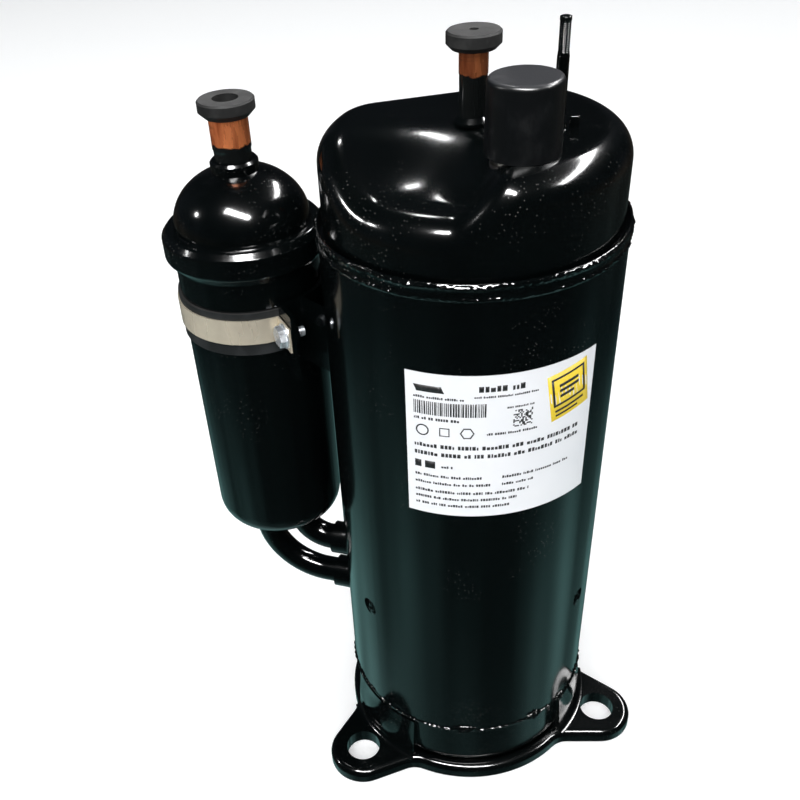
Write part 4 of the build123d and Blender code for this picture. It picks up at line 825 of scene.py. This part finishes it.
def make_label_print(ink, yellow):
    """Generic print: header block, stripes, small marks, greeked lines and a patch."""
    black = LabelPrint()
    black.quad(((4, 6.5), (17, 6.5), (18.5, 10), (5.5, 10)))
    for line in ((34, 5.6, 24, 3.1, 11), (4, 12.2, 24, 1.3, 12), (32, 10.8, 30, 1.1, 13)):
        black.greeked_line(*line)
    random.seed(14)
    u = 4.0
    while u < 38:
        wide = random.choice((0.35, 0.5, 0.8))
        black.bar(u, 15.0, wide, 7.4)
        u += wide + random.choice((0.35, 0.5))
    black.greeked_line(4, 24.0, 22, 1.5, 15)
    black.greeked_line(47, 17.6, 14, 1.0, 16)
    random.seed(17)
    cell, cells = 0.72, 13
    for i in range(cells):
        for j in range(cells):
            if random.random() < 0.5:
                black.bar(50 + cell * i, 20 + cell * j, cell, cell)
    black.ring(8, 31.5, 3.2, 0.7)
    black.ring(18.5, 31.5, 3.4, 0.7, sides=4, turn=math.pi / 4)
    black.ring(29, 31.5, 3.4, 0.7, sides=6)
    black.greeked_line(38, 31.5, 24, 1.3, 18)
    black.greeked_line(4, 39.0, 84, 2.2, 19)
    black.greeked_line(4, 43.8, 84, 2.2, 20)
    black.bar(4, 49.5, 3.2, 4.2)
    black.bar(9, 49.5, 5.0, 4.2)
    black.greeked_line(17, 51.4, 6, 1.4, 21)
    for line in (
        (4, 57.4, 34, 1.5, 22),
        (46, 57.4, 36, 1.5, 23),
        (4, 61.8, 38, 1.5, 24),
        (46, 61.8, 16, 1.5, 25),
        (4, 66.8, 56, 1.6, 26),
        (4, 71.0, 50, 1.5, 27),
        (4, 75.2, 46, 1.5, 28),
    ):
        black.greeked_line(*line)
    patch = LabelPrint()
    tilt = math.radians(9)

    def at(du, dv):
        """Place on the label for an offset from the middle of the tilted patch."""
        cos, sin = math.cos(tilt), math.sin(tilt)
        return 79.0 + du * cos + dv * sin, 17.5 - du * sin + dv * cos

    patch.quad((at(-11.5, -13), at(11.5, -13), at(11.5, 13), at(-11.5, 13)))
    for left, top, right, bottom in (
        (-9.6, -10.6, 9.6, -9.4),
        (-9.6, 4.4, 9.6, 5.6),
        (-9.6, -9.4, -8.4, 4.4),
        (8.4, -9.4, 9.6, 4.4),
        (-5.6, -6.2, 5.6, -4.6),
        (-5.6, -3.2, 5.6, -1.6),
        (-5.6, -0.2, 2.6, 1.4),
        (-9.0, 7.6, 8.0, 8.8),
        (-9.0, 10.2, 4.0, 11.2),
    ):
        corners = (at(left, top), at(right, top), at(right, bottom), at(left, bottom))
        black.quad(corners, 3 * INK_LIFT)
    patch.piece("label_patch", yellow)
    black.piece("label_print", ink)


# ================================================================ assembly
NODE_MATERIAL = {"discharge_tube": "discharge_copper", "suction_tube": "suction_copper"}


def dress_nodes(materials):
    """Every CAD node takes the material of its slot in the record."""
    for entry in frame["record"]["subparts"]:
        node = frame["nodes"][entry["node"]]
        chosen = materials[NODE_MATERIAL.get(entry["node"], entry["material_slot"])]
        node.data.materials.clear()
        node.data.materials.append(chosen)


make_camera()
make_world()
make_stage()
make_lights()
materials = make_materials()
dress_nodes(materials)
make_cap(materials["black_paint"])
make_seam_weld(
    "upper_seam_weld", materials["weld"],
    SHELL_TOP - 0.0044, SHELL_TOP + 0.0046, CAP_R + 0.0027, (0.18, 0.80), 0.0014, 3,
)
make_seam_weld(
    "lower_seam_weld", materials["weld"],
    SHELL_BOTTOM - 0.0024, SHELL_BOTTOM + 0.0014, CAP_R + 0.0025, (0.62,), 0.0013, 4,
)
for azimuth, height, size, seed in (
    (269.5, 0.0006, (0.0170, 0.0062, 0.0022), 5),
    (305.0, 0.0002, (0.0120, 0.0060, 0.0022), 6),
    (323.0, -0.0010, (0.0090, 0.0060, 0.0020), 7),
):
    weld_blob("seam_blob", materials["weld"], azimuth, SHELL_BOTTOM + height, size, seed)
for seed, azimuth in enumerate((96.0, 222.7, 329.6)):
    size = (0.0052, 0.0105, 0.0013)
    weld_blob("plug_blob", materials["weld"], azimuth, WELD_HEIGHT, size, seed, "plug_welds")
make_stud(materials["black_paint"])
make_label_print(materials["ink"], materials["yellow"])

bpy.context.scene.view_settings.view_transform = "Standard"
bpy.context.view_layer.update()
